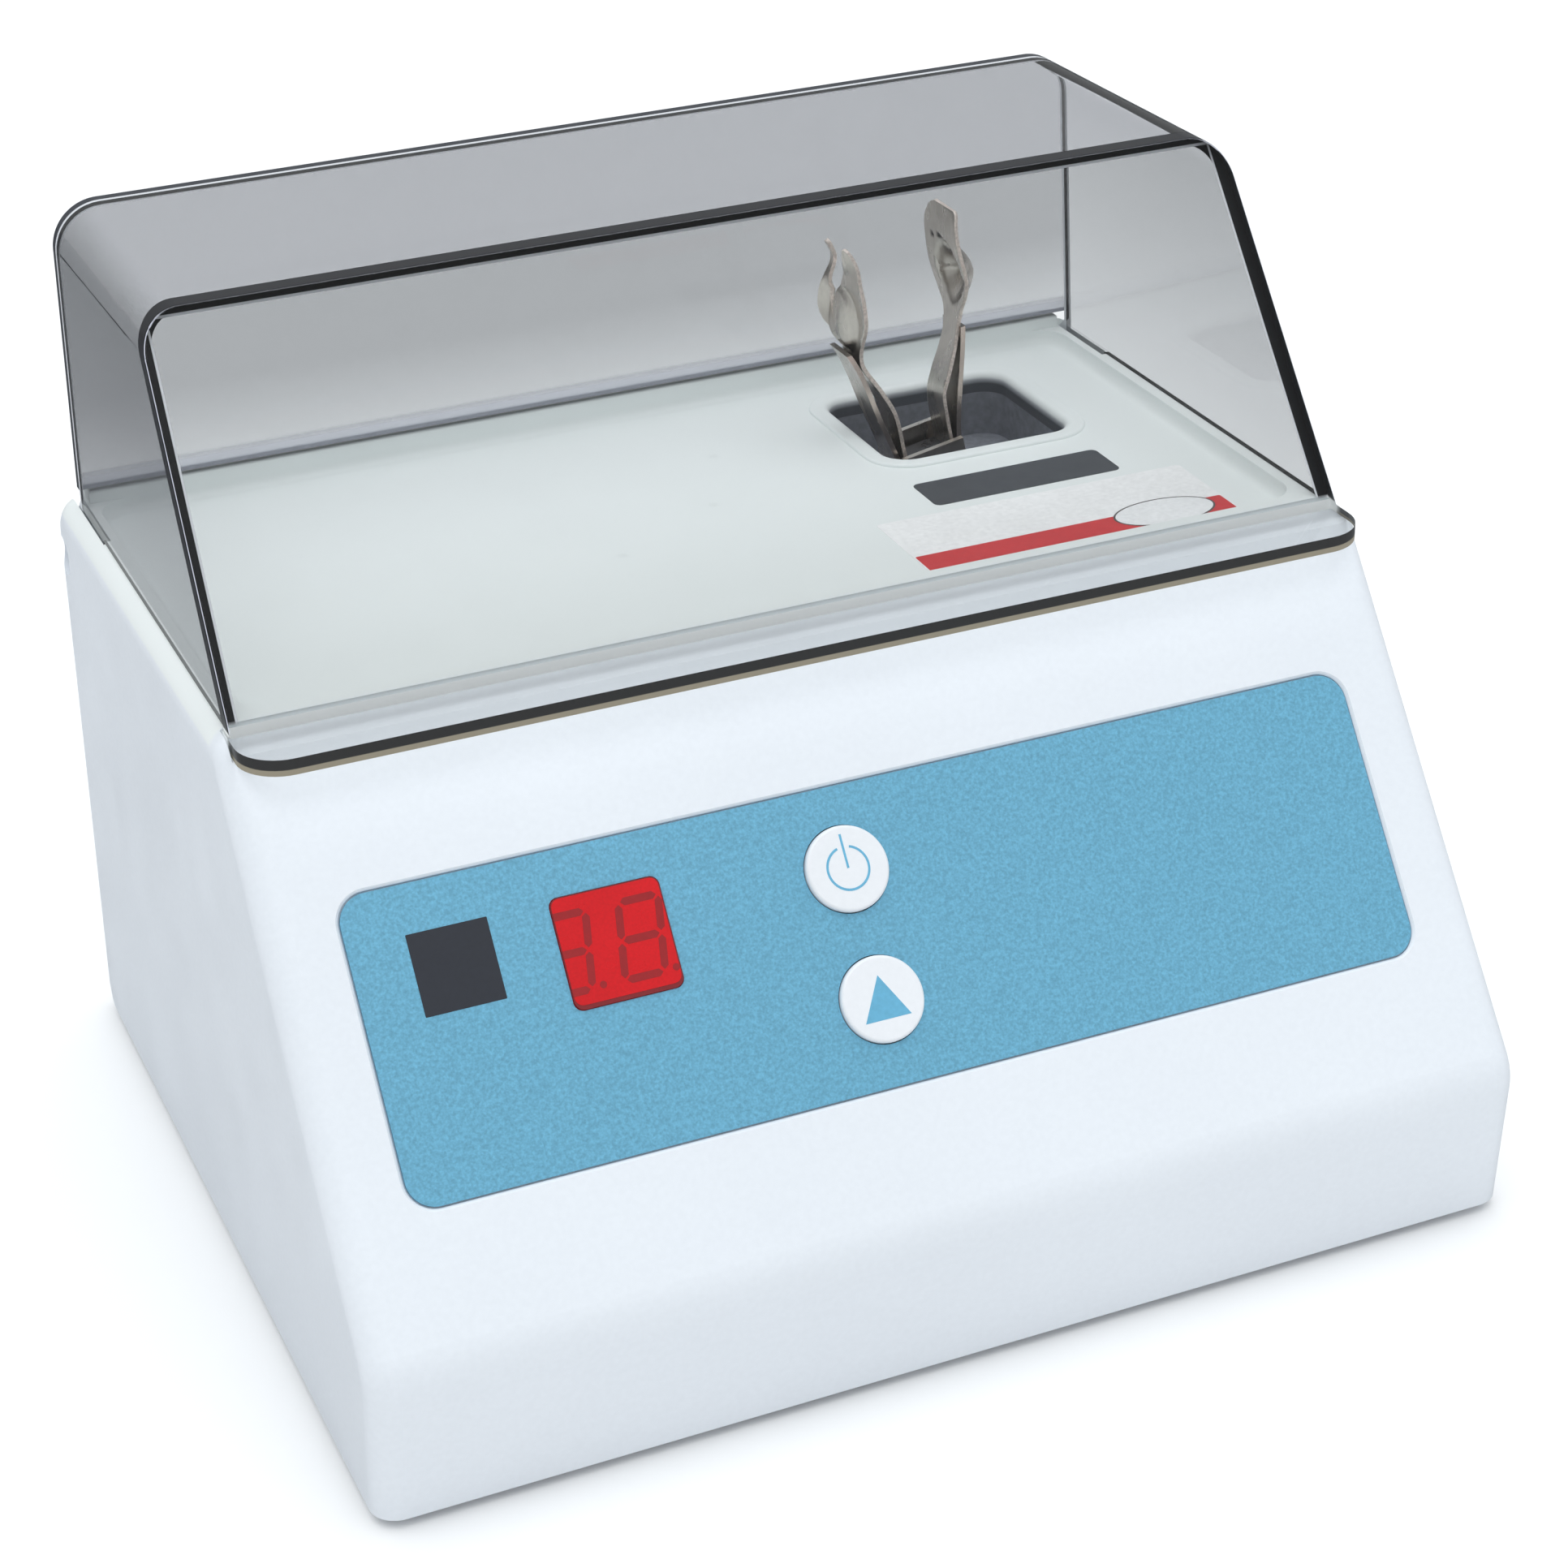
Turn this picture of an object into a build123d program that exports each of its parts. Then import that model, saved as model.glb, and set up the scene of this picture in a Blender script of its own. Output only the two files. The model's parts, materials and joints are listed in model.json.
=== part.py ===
from build123d import *
import os
from math import cos, pi, radians, sin, sqrt, tan

# A bench-top dental amalgamator: a wedge housing with a control panel on its slope, a transparent
# cover hinged at the back, and a motor under the deck that shakes two spring forks in a well.
# Frame: +X to the right, +Y to the back, +Z up. The origin is under the middle, on the bench.
# All sizes are millimetres.

os.makedirs("parts", exist_ok=True)

# ---------------------------------------------------------------- driving dimensions: housing
BASE_HALF_WIDTH = 108.1        # housing at its bottom edge
DRAFT_DEG = 0.6                # side walls lean in for the mould
FOOT_HEIGHT = 2.0              # housing bottom above the bench
FRONT_BOTTOM_Y = -92.0
CREASE_Y = -95.0               # where the front band meets the slope
CREASE_Z = 31.2
SLOPE_DEG = 53.6               # panel slope from the horizontal
RIM_Z = 117.6                  # top of the housing's rim
BACK_BOTTOM_Y = 95.0
BACK_LEAN_DEG = 4.46           # rear wall leans forward
WALL = 2.6
EDGE_RADIUS = 5.0              # along both sides
CREASE_RADIUS = 11.0
SHOULDER_RADIUS = 6.0          # slope to rim
EAR_RADIUS = 8.3               # rim to rear wall
HEEL_RADIUS = 10.0             # rear wall to the bottom
HEEL_DROP = 5.5                # the heel's arc starts this far under the cut bottom edge

# deck
TRAY_DEPTH = 2.6
DECK_THICKNESS = 3.6
TRAY_MARGIN = 4.3              # tray inside the cover's side
TRAY_FRONT_Y = -23.5
TRAY_BACK_Y = 74.5
TRAY_RADIUS = 6.0
COVE_RADIUS = 2.0
LEDGE_DEPTH = 3.6              # the cover's lip lies in this step
LEDGE_BACK_Y = -26.3
RAIL_HEIGHT = 2.6
RAIL_DEPTH = 5.0

# mixing well
WELL_X = 61.5
WELL_Y = 46.2
WELL_LENGTH = 38.5
WELL_WIDTH = 34.2
WELL_RADIUS = 5.0
WELL_LIP = 1.5
PAD_MARGIN = 4.0               # raised pad around the well
PAD_HEIGHT = 0.6
PAD_ROUNDING = 0.54
RIM_ROUNDING = 0.6             # edges of the rail

# ---------------------------------------------------------------- driving dimensions: cover
COVER_TOP_Z = 175.75
COVER_INSET = 2.89             # cover's side inside the housing's flank, at the rim
COVER_LEAN_DEG = 1.68          # side walls lean in
COVER_BACK_Y = 76.4
COVER_SIDE = 2.0
COVER_TOP = 2.2
COVER_BACK = 2.5
WINDOW_THICKNESS = 3.0
WINDOW_FOOT_Y = -30.6          # window's outer face where it meets the lip's top
BEND_FRONT = 6.0               # bend between the cover's top and sides
BEND_BACK = 9.0
PANE_EDGE = 0.5                # rounded edges where flat panes meet the bent hood
COVER_GAP = 0.1                # cover above the rim and ledge it rests on
COVER_SEAM = 0.1               # glue line between the cover's panes
LIP_THICKNESS = 2.95
LIP_REACH = 11.2               # lip in front of the window's foot
LIP_OVERHANG = 0.3             # lip beyond the cover's sides
LIP_RADIUS = 8.0
LIP_CLEARANCE = 0.3
BACK_PANEL_GAP = 3.4           # under the back panel, over the rim

# hinge
HINGE_Y = 81.0
HINGE_Z = 105.6
PIN_RADIUS = 2.0
PIN_HEAD_RADIUS = 3.7
PIN_HEAD_LENGTH = 1.5
PIN_FIT = 0.05
TAB_RADIUS = 5.6
TAB_THICKNESS = 1.85
TAB_LENGTH = 17.4              # along the cover's side wall
SLOT_WIDTH = 2.9
SLOT_SIDE_GAP = 0.1
SLOT_WALL = 2.8
SLOT_SHAFT_GAP = 0.6           # below and in front of the tab

# cover switch, worked by the right-hand hinge tab
LATCH_LENGTH = 20.0
LATCH_WIDTH = 6.2
LATCH_HEIGHT = 7.0
LATCH_Y = 70.0
LATCH_PLUNGER_Y = 73.5
LATCH_PLUNGER_Z = 109.0
LATCH_PLUNGER = 1.1
LATCH_GAP = 0.25               # plunger to the tab's side

# ---------------------------------------------------------------- driving dimensions: controls
PANEL_MARGIN = 14.0            # overlay inside the housing's flank
PANEL_LOW = 25.8               # up the slope from the crease
PANEL_HIGH = 78.0
PANEL_RADIUS = 5.0
PANEL_THICKNESS = 0.9
PANEL_RECESS = 0.2
PANEL_GAP = 0.3
PANEL_CHAMFER = 0.5            # sloping rim of the pocket
DISPLAY_X = -49.7
DISPLAY_UP = 60.45
DISPLAY_WIDTH = 19.4
DISPLAY_HEIGHT = 19.1
DISPLAY_RADIUS = 1.7
WINDOW_FLANGE = 1.2
MODULE_X = -51.95
MODULE_WIDTH = 25.1
MODULE_HEIGHT = 19.0
BUTTON_X = -7.05
POWER_UP = 63.6
TIME_UP = 40.7
BUTTON_RADIUS = 7.5
BUTTON_PROUD = 0.9
BUTTON_FLANGE = 1.3
BUTTON_TRAVEL = 0.5
BUTTON_FIT = 0.2
BUTTON_ROUNDING = 0.6
STEM_RADIUS = 2.0
BOARD_DEPTH = 10.7             # face of the control board below the slope
BOARD_THICKNESS = 1.6
BOARD_X = -30.0
BOARD_UP = 55.0
BOARD_LENGTH = 100.0
BOARD_WIDTH = 44.0
BOARD_POST = 3.2
BOARD_SCREW = 1.1
BOARD_SCREW_HEAD = 2.4
SWITCH_SIZE = 6.0
SWITCH_HEIGHT = 3.5
PLUNGER_HEIGHT = 0.8
PLUNGER_RADIUS = 1.7

# ---------------------------------------------------------------- driving dimensions: mixing head
PIVOT_Z = 80.6                 # centre of the wobble bearing, under the well
ARM_TILT_DEG = 10.5            # the forks stand leaning to the left
BEARING_HALF = 4.5
BALL_SPHERE = 11.95            # everything that spins stays inside this sphere
RACE_BORE = 12.05
RACE_RADIUS = 15.0
RING_RADIUS = 18.0
BALL_RADIUS = 2.0
BALL_COUNT = 8
BALL_FIT = 0.05
INNER_RACE_RADIUS = 8.6
INNER_RACE_HALF = 3.5
HUB_RADIUS = 6.0
SHAFT_RADIUS = 3.0
LUG_RADIUS = 1.5
LUG_REACH = 23.0
STEM_TOP = 22.0                # arm stem above the bearing centre
STEM_X = 7.0
STEM_Y = 9.0
STEM_GAP = 1.3                 # stem starts this far outside the race
STEM_ROUNDING = 0.9
BRACKET_HALF = 6.5
BRACKET_SHEET = 1.2
BRACKET_TOP = 31.5
BLOCK_HALF = 4.8
BLOCK_TOP = 28.5
FORK_SHEET = 0.8
LEAF_SHEET = 1.0
FORK_ROOT = 24.2
FORK_TIP = 76.6
BLADE_HALF = 4.0
NECK_HALF = 3.3
HEAD_HALF = 7.0
TIP_HALF = 4.6
NECK_UP = 54.5
HEAD_UP = 64.5
DISH_DEPTH = 2.2
RIVET_RADIUS = 1.1
RIVET_UP = 26.6
BOOT_FLOOR_Z = 102.4
BOOT_WALL = 1.4
BOOT_SLOT_X = 24.0
BOOT_SLOT_Y = 17.0
CURL_LEFT = 3.6                # one wing of each head curls outward
CURL_RIGHT = 2.6
DISH_HALF = 4.9
NOTCH_WIDTH = 4.1
NOTCH_UP = 5.5                 # bottom of the notch above the head's middle
RIVET_HEAD = 1.75
RIVET_HEAD_LENGTH = 0.8
RIVET_HOLE = 1.4               # loose holes through the block

# ---------------------------------------------------------------- driving dimensions: motor
CAN_RADIUS = 21.0
CAN_SHEET = 1.2
CAN_LEFT_X = -34.0
CAN_RIGHT_X = 26.0
BELL_LENGTH = 8.0
STATOR_THICKNESS = 5.0
ROTOR_RADIUS = 13.4
FAN_RADIUS = 18.0
FAN_LENGTH = 9.0
FAN_BLADES = 7
CRADLE_SHEET = 2.0
CRADLE_Z = 14.0
CRADLE_HALF_Y = 30.0
SEAT_DEPTH = 23.0
STRAP_SHEET = 1.2
STRAP_WIDTH = 10.0
SPRING_RADIUS = 2.6
SPRING_COILS = 8
SPRING_GROOVE = 1.95
SPRING_HOOK = 2.6
SPRING_WIRE = 0.65
SPRING_FOOT = 32.0             # springs start this far above the cradle
ROTOR_SLOTS = 6
ROTOR_SLOT = 1.8
FAN_SHEET = 0.9
FAN_CHORD = 7.2
FAN_PITCH_DEG = 30
ISOLATOR_WAIST = 4.1

# ---------------------------------------------------------------- driving dimensions: base, mains
BASE_PLATE = 2.5
BASE_RECESS = 0.2
BASE_GAP = 0.4
FOOT_RADIUS = 9.0
FOOT_ROUNDING = 0.45
FOOT_INSET = 22.1              # foot centres inside the housing's flanks
FOOT_Y = 72.0
VENT_COUNT = 7
VENT_WIDTH = 2.6
VENT_PITCH = 10.4
POST_RADIUS = 4.5
POST_HEIGHT = 22.0
POST_INSET = 8.5
SCREW_RADIUS = 1.5
SCREW_HEAD = 3.0
SCREW_HEAD_LENGTH = 1.6
SCREW_LENGTH = 10.0
SCREW_FIT = 0.05
INLET_INSET = 50.1             # inlet centre inside the left flank
INLET_UP = 38.0
INLET_WIDTH = 27.4
INLET_HEIGHT = 34.0
INLET_FLANGE = 3.0
INLET_DEPTH = 22.0
INLET_RIM = 2.0
SOCKET_CORNER = 4.2
SOCKET_WIDTH = 24.4
SOCKET_HEIGHT = 16.8
SOCKET_DEPTH = 16.0
SOCKET_RISE = 3.1              # socket centre above the inlet's centre
DRAWER_MARGIN = 0.9
DRAWER_PROUD = 0.6
DRAWER_HEIGHT = 9.0
PLUG_PIN_WIDTH = 2.0
PLUG_PIN_HEIGHT = 4.0
PLUG_PIN_PITCH = 7.0
PLUG_PIN_DROP = 1.5
EARTH_PIN_RISE = 2.5
MAINS_INSET = 36.1             # power board's middle inside the left flank
MAINS_Y = -10.0
MAINS_LENGTH = 56.0
MAINS_WIDTH = 92.0
STANDOFF = 6.0
TRANSFORMER_LENGTH = 42.0
TRANSFORMER_WIDTH = 34.0
TRANSFORMER_HEIGHT = 34.0
TRANSFORMER_STACK = 15.0       # thickness of the laminated core
TRANSFORMER_Y = 18.0
COIL_LENGTH = 29.4
COIL_HEIGHT = 24.5
COIL_ROUNDING = 2.6
CAPACITOR_RADIUS = 6.5
CAPACITOR_HEIGHT = 20.0
CAPACITOR_PITCH = 15.0
CAPACITOR_Y = -18.0
RELAY_LENGTH = 19.0
RELAY_WIDTH = 15.5
RELAY_HEIGHT = 15.8
RELAY_X = -12.0
SINK_LENGTH = 16.0
SINK_WIDTH = 12.0
SINK_HEIGHT = 24.0
SINK_X = 14.0
SINK_FINS = 5
FIN_SHEET = 1.4
SINK_WEB = 2.6
BACK_ROW_Y = -34.0             # relay and heat sink

# ---------------------------------------------------------------- derived places
SLOPE = radians(SLOPE_DEG)
DRAFT = radians(DRAFT_DEG)
LEAN = radians(BACK_LEAN_DEG)
BOTTOM_Z = FOOT_HEIGHT
RIM_HALF_WIDTH = BASE_HALF_WIDTH - (RIM_Z - BOTTOM_Z) * tan(DRAFT)
COVER_HALF_WIDTH = RIM_HALF_WIDTH - COVER_INSET
LIP_HALF_WIDTH = COVER_HALF_WIDTH + LIP_OVERHANG
TRAY_HALF_WIDTH = COVER_HALF_WIDTH - TRAY_MARGIN
SLOT_OUTER_X = COVER_HALF_WIDTH + SLOT_SIDE_GAP
SLOT_INNER_X = SLOT_OUTER_X - SLOT_WIDTH
TAB_OUTER_X = SLOT_OUTER_X - 2 * SLOT_SIDE_GAP
PANEL_HALF_WIDTH = BASE_HALF_WIDTH - PANEL_MARGIN
FOOT_X = BASE_HALF_WIDTH - FOOT_INSET
INLET_X = INLET_INSET - BASE_HALF_WIDTH
MAINS_X = MAINS_INSET - BASE_HALF_WIDTH
HEEL_Z = BOTTOM_Z - HEEL_DROP
TRAY_Z = RIM_Z - TRAY_DEPTH
DECK_UNDER_Z = TRAY_Z - DECK_THICKNESS
LEDGE_Z = RIM_Z - LEDGE_DEPTH
SHOULDER_Y = CREASE_Y + (RIM_Z - CREASE_Z) / tan(SLOPE)
EAR_Y = BACK_BOTTOM_Y - (RIM_Z - BOTTOM_Z) * tan(LEAN)
LIP_Z = LEDGE_Z + COVER_GAP
COVER_Z = RIM_Z + COVER_GAP
WINDOW_FOOT_Z = LIP_Z + LIP_THICKNESS
PLATE_Z = BOTTOM_Z + BASE_RECESS
PLATE_TOP_Z = PLATE_Z + BASE_PLATE
POCKET_DEPTH = PANEL_RECESS + PANEL_THICKNESS
BUTTON_FOOT = BOARD_DEPTH - SWITCH_HEIGHT - PLUNGER_HEIGHT - BUTTON_TRAVEL - PIN_FIT
BALL_CIRCLE = BALL_SPHERE - BALL_RADIUS - BALL_FIT / 2
BOARD_Z = PLATE_TOP_Z + STANDOFF
SOCKET_UP = INLET_UP + SOCKET_RISE
DRAWER_UP = INLET_UP - INLET_HEIGHT / 2 + DRAWER_HEIGHT / 2 + DRAWER_MARGIN
SPRING_TOP = PIVOT_Z - LUG_RADIUS - SPRING_HOOK
OVERSIZE = 300.0               # longer than anything it cuts

slope_plane = Plane(origin=(0, CREASE_Y, CREASE_Z), x_dir=(1, 0, 0), z_dir=(0, -sin(SLOPE), cos(SLOPE)))
back_plane = Plane(origin=(0, BACK_BOTTOM_Y, BOTTOM_Z), x_dir=(-1, 0, 0), z_dir=(0, cos(LEAN), sin(LEAN)))
arm_frame = Pos(WELL_X, WELL_Y, PIVOT_Z) * Rot(0, -ARM_TILT_DEG, 0)


# ---------------------------------------------------------------- shape helpers
def block(x, y, z):
    """A box between two corners, each axis given as (low, high)."""
    size = [high - low for low, high in (x, y, z)]
    middle = [(high + low) / 2 for low, high in (x, y, z)]
    return Pos(*middle) * Box(*size)


def rod(axis, radius, low, high, at=(0, 0)):
    """A cylinder along one axis; at holds the other two coordinates in x, y, z order."""
    length = high - low
    middle = (high + low) / 2
    if axis == "x":
        return Pos(middle, at[0], at[1]) * Rot(0, 90, 0) * Cylinder(radius, length)
    if axis == "y":
        return Pos(at[0], middle, at[1]) * Rot(90, 0, 0) * Cylinder(radius, length)
    return Pos(at[0], at[1], middle) * Cylinder(radius, length)


def outline(corners):
    """A face from (point, radius) corners, rounded where the radius isn't zero."""
    face = make_face(Polyline(*[point for point, _ in corners], close=True).edges())
    for (u, v), radius in corners:
        if radius > 0:
            face = fillet(face.vertices().sort_by_distance((u, v, 0))[:1], radius)
    return face


def rounded_block(width, depth, low, high, radius, at=(0, 0)):
    face = Pos(at[0], at[1], low) * RectangleRounded(width, depth, radius)
    return extrude(face, amount=high - low)


def both_sides(shape):
    return [shape, mirror(shape, about=Plane.YZ)]


def save(name, shape):
    solids = shape if isinstance(shape, list) else [shape]
    flat = []
    for item in solids:
        flat.extend(item.solids())
    export_step(flat[0] if len(flat) == 1 else Compound(children=flat), f"parts/{name}.step")


# ---------------------------------------------------------------- housing
def housing_envelope():
    """The outer form: the side profile, drafted from the front and rounded along both sides."""
    front_lean = (FRONT_BOTTOM_Y - CREASE_Y) / (CREASE_Z - BOTTOM_Z)
    profile = outline([
        ((FRONT_BOTTOM_Y + HEEL_DROP * front_lean, HEEL_Z), 0),
        ((CREASE_Y, CREASE_Z), CREASE_RADIUS),
        ((SHOULDER_Y, RIM_Z), SHOULDER_RADIUS),
        ((EAR_Y, RIM_Z), EAR_RADIUS),
        ((BACK_BOTTOM_Y + HEEL_DROP * tan(LEAN), HEEL_Z), HEEL_RADIUS),
    ])
    wedge = extrude(Plane.YZ * profile, amount=BASE_HALF_WIDTH + EDGE_RADIUS, both=True)
    hollow_profile = offset(profile, amount=-WALL)
    void = extrude(Plane.YZ * hollow_profile, amount=BASE_HALF_WIDTH + EDGE_RADIUS, both=True)
    body = wedge & drafted_prism(0)
    sides = [e for e in body.edges() if abs(e.center().X) > BASE_HALF_WIDTH - EDGE_RADIUS]
    sides = [e for e in sides if e.center().Z > HEEL_Z + WALL / 10]
    body = fillet(sides, EDGE_RADIUS)
    void = void & drafted_prism(WALL)
    void = void & block((-OVERSIZE, OVERSIZE), (-OVERSIZE, OVERSIZE), (-OVERSIZE, DECK_UNDER_Z))
    return body, void


def drafted_prism(inset):
    """Both side walls as one prism along Y."""
    low = BASE_HALF_WIDTH - inset + HEEL_DROP * tan(DRAFT)
    high = BASE_HALF_WIDTH - inset - (RIM_Z + WALL - BOTTOM_Z) * tan(DRAFT)
    face = make_face(Polyline((-low, HEEL_Z), (low, HEEL_Z), (high, RIM_Z + WALL), (-high, RIM_Z + WALL),
                              close=True).edges())
    return extrude(Plane.XZ * face, amount=OVERSIZE, both=True)


def hinge_slots():
    low_z = HINGE_Z - TAB_RADIUS - SLOT_SHAFT_GAP
    front_y = COVER_BACK_Y - COVER_BACK - TAB_LENGTH - SLOT_SHAFT_GAP
    slot = block((SLOT_INNER_X, SLOT_OUTER_X), (front_y, OVERSIZE), (low_z, OVERSIZE))
    cheek = block((SLOT_INNER_X - SLOT_WALL, BASE_HALF_WIDTH), (front_y - SLOT_WALL, OVERSIZE),
                  (low_z - SLOT_WALL, DECK_UNDER_Z + WALL))
    head_hole = rod("x", PIN_HEAD_RADIUS + 2 * PIN_FIT, SLOT_OUTER_X - WALL, OVERSIZE, (HINGE_Y, HINGE_Z))
    shank_hole = rod("x", PIN_RADIUS + PIN_FIT, SLOT_INNER_X - 2 * SLOT_WALL, SLOT_OUTER_X,
                     (HINGE_Y, HINGE_Z))
    return slot, cheek, head_hole + shank_hole


def slope_pocket():
    """The overlay's pocket, with a sloping rim all round."""
    middle = (PANEL_LOW + PANEL_HIGH) / 2
    face = RectangleRounded(2 * (PANEL_HALF_WIDTH + PANEL_GAP), PANEL_HIGH - PANEL_LOW + 2 * PANEL_GAP,
                            PANEL_RADIUS + PANEL_GAP)
    pocket = slope_plane * Pos(0, middle, -POCKET_DEPTH) * extrude(face, amount=POCKET_DEPTH)
    rim = extrude(face, amount=2 * PANEL_CHAMFER, taper=-45)
    return pocket + slope_plane * Pos(0, middle, -PANEL_CHAMFER) * rim


def slope_plate(x, up, width, height, low, high, radius):
    face = RectangleRounded(width, height, radius)
    return slope_plane * Pos(x, up, low) * extrude(face, amount=high - low)


def slope_disc(x, up, radius, low, high):
    return slope_plane * Pos(x, up, (low + high) / 2) * Cylinder(radius, high - low)


def display_opening(low, high):
    width = DISPLAY_WIDTH + BUTTON_FIT
    height = DISPLAY_HEIGHT + BUTTON_FIT
    return slope_plate(DISPLAY_X, DISPLAY_UP, width, height, low, high, DISPLAY_RADIUS)


def board_fixings():
    """Screw places of the control board, near its corners."""
    reach_x = BOARD_LENGTH / 2 - POST_RADIUS
    reach_up = BOARD_WIDTH / 2 - POST_RADIUS
    return [(BOARD_X + i * reach_x, BOARD_UP + j * reach_up) for i in (-1, 1) for j in (-1, 1)]


def post_places():
    x = BASE_HALF_WIDTH - WALL - POST_INSET
    front = FRONT_BOTTOM_Y + WALL + POST_INSET
    back = BACK_BOTTOM_Y - WALL - POST_INSET
    return [(i * x, y) for i in (-1, 1) for y in (front, back)]


def base_posts():
    posts = []
    for x, y in post_places():
        side = 1 if x > 0 else -1
        wall_x = side * (BASE_HALF_WIDTH - WALL / 2)
        top = PLATE_TOP_Z + POST_HEIGHT
        post = rod("z", POST_RADIUS, PLATE_TOP_Z, top, (x, y))
        rib = block(sorted((x, wall_x)), (y - WALL / 2, y + WALL / 2), (PLATE_TOP_Z, top))
        hole = rod("z", SCREW_RADIUS + SCREW_FIT, PLATE_TOP_Z, PLATE_TOP_Z + SCREW_LENGTH, (x, y))
        posts.append(post + rib - hole)
    return posts


def housing_shell():
    envelope, void = housing_envelope()
    shell = envelope - void
    slot, cheek, pin_holes = hinge_slots()
    for part in both_sides(cheek & envelope):
        shell = shell + part
    tray = rounded_block(2 * TRAY_HALF_WIDTH, TRAY_BACK_Y - TRAY_FRONT_Y, TRAY_Z, RIM_Z + EAR_RADIUS,
                         TRAY_RADIUS, (0, (TRAY_FRONT_Y + TRAY_BACK_Y) / 2))
    tray = fillet(tray.faces().sort_by(Axis.Z)[0].edges(), COVE_RADIUS)
    shell = shell - tray
    pad = rounded_block(WELL_LENGTH + 2 * PAD_MARGIN, WELL_WIDTH + 2 * PAD_MARGIN, TRAY_Z - WALL,
                        TRAY_Z + PAD_HEIGHT, WELL_RADIUS + PAD_MARGIN, (WELL_X, WELL_Y))
    pad = fillet(pad.faces().sort_by(Axis.Z)[-1].edges(), PAD_ROUNDING)
    shell = shell + pad
    well = rounded_block(WELL_LENGTH, WELL_WIDTH, DECK_UNDER_Z - WALL, RIM_Z, WELL_RADIUS, (WELL_X, WELL_Y))
    shell = shell - well
    pad_z = TRAY_Z + PAD_HEIGHT
    lip = [e for e in shell.edges().filter_by_position(Axis.Z, pad_z - PIN_FIT, pad_z + PIN_FIT)
           if abs(e.center().X - WELL_X) <= WELL_LENGTH / 2 + PIN_FIT
           and abs(e.center().Y - WELL_Y) <= WELL_WIDTH / 2 + PIN_FIT]
    shell = fillet(lip, WELL_LIP)
    rail = block((-SLOT_INNER_X + SLOT_SHAFT_GAP, SLOT_INNER_X - SLOT_SHAFT_GAP),
                 (TRAY_BACK_Y, TRAY_BACK_Y + RAIL_DEPTH), (RIM_Z - WALL / 2, RIM_Z + RAIL_HEIGHT))
    rail = fillet(rail.faces().sort_by(Axis.Z)[-1].edges(), RIM_ROUNDING)
    shell = shell + rail
    shell = shell - block((-LIP_HALF_WIDTH - LIP_CLEARANCE, LIP_HALF_WIDTH + LIP_CLEARANCE),
                          (-OVERSIZE, LEDGE_BACK_Y), (LEDGE_Z, OVERSIZE))
    for part in both_sides(slot) + both_sides(pin_holes):
        shell = shell - part
    shell = shell - latch_rod(LATCH_PLUNGER + PIN_FIT, SLOT_INNER_X)
    shell = shell - slope_pocket()
    shell = shell - display_opening(-2 * WALL, 0)
    for up in (POWER_UP, TIME_UP):
        shell = shell - slope_disc(BUTTON_X, up, BUTTON_RADIUS + BUTTON_FIT, -2 * WALL, 0)
    for x, up in board_fixings():
        shell = shell + slope_disc(x, up, BOARD_POST, -BOARD_DEPTH, PANEL_RECESS - WALL)
        shell = shell - slope_disc(x, up, BOARD_SCREW + SCREW_FIT, -BOARD_DEPTH, -2 * WALL)
    for post in base_posts():
        shell = shell + post
    shell = shell - inlet_cutout()
    return shell & block((-OVERSIZE, OVERSIZE), (-OVERSIZE, OVERSIZE), (BOTTOM_Z, OVERSIZE))


# ---------------------------------------------------------------- base
def base_plate():
    half = BASE_HALF_WIDTH - WALL - BASE_GAP
    front = FRONT_BOTTOM_Y + WALL + BASE_GAP
    heel = HEEL_RADIUS - WALL
    rise = HEEL_RADIUS - HEEL_DROP
    back = BACK_BOTTOM_Y - HEEL_RADIUS + sqrt(heel ** 2 - rise ** 2) - BASE_GAP
    plate = rounded_block(2 * half, back - front, PLATE_Z, PLATE_TOP_Z, WALL, (0, (front + back) / 2))
    for x, y in post_places():
        seat = PLATE_Z + SCREW_HEAD_LENGTH + BASE_RECESS
        plate = plate - rod("z", SCREW_RADIUS + SCREW_FIT, PLATE_Z, PLATE_TOP_Z, (x, y))
        plate = plate - rod("z", SCREW_HEAD + 2 * SCREW_FIT, PLATE_Z, seat, (x, y))
    first = (CAN_LEFT_X + CAN_RIGHT_X) / 2 - (VENT_COUNT - 1) / 2 * VENT_PITCH
    for i in range(VENT_COUNT):
        slot = SlotOverall(CRADLE_HALF_Y, VENT_WIDTH, rotation=90)
        vent = extrude(slot, amount=BASE_PLATE)
        plate = plate - Pos(first + i * VENT_PITCH, -CRADLE_HALF_Y, PLATE_Z) * vent
    return plate


def rubber_feet():
    foot = Pos(0, 0, PLATE_Z / 2) * Cylinder(FOOT_RADIUS, PLATE_Z)
    foot = fillet(foot.edges().sort_by(Axis.Z)[:1], FOOT_ROUNDING)
    return [Pos(i * FOOT_X, j * FOOT_Y, 0) * foot for i in (-1, 1) for j in (-1, 1)]


def base_screws():
    seat = PLATE_Z + SCREW_HEAD_LENGTH + BASE_RECESS
    screws = []
    for x, y in post_places():
        head = rod("z", SCREW_HEAD, seat - SCREW_HEAD_LENGTH, seat, (x, y))
        shank = rod("z", SCREW_RADIUS, seat, PLATE_TOP_Z + SCREW_LENGTH - WALL, (x, y))
        screws.append(head + shank)
    return screws


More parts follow.
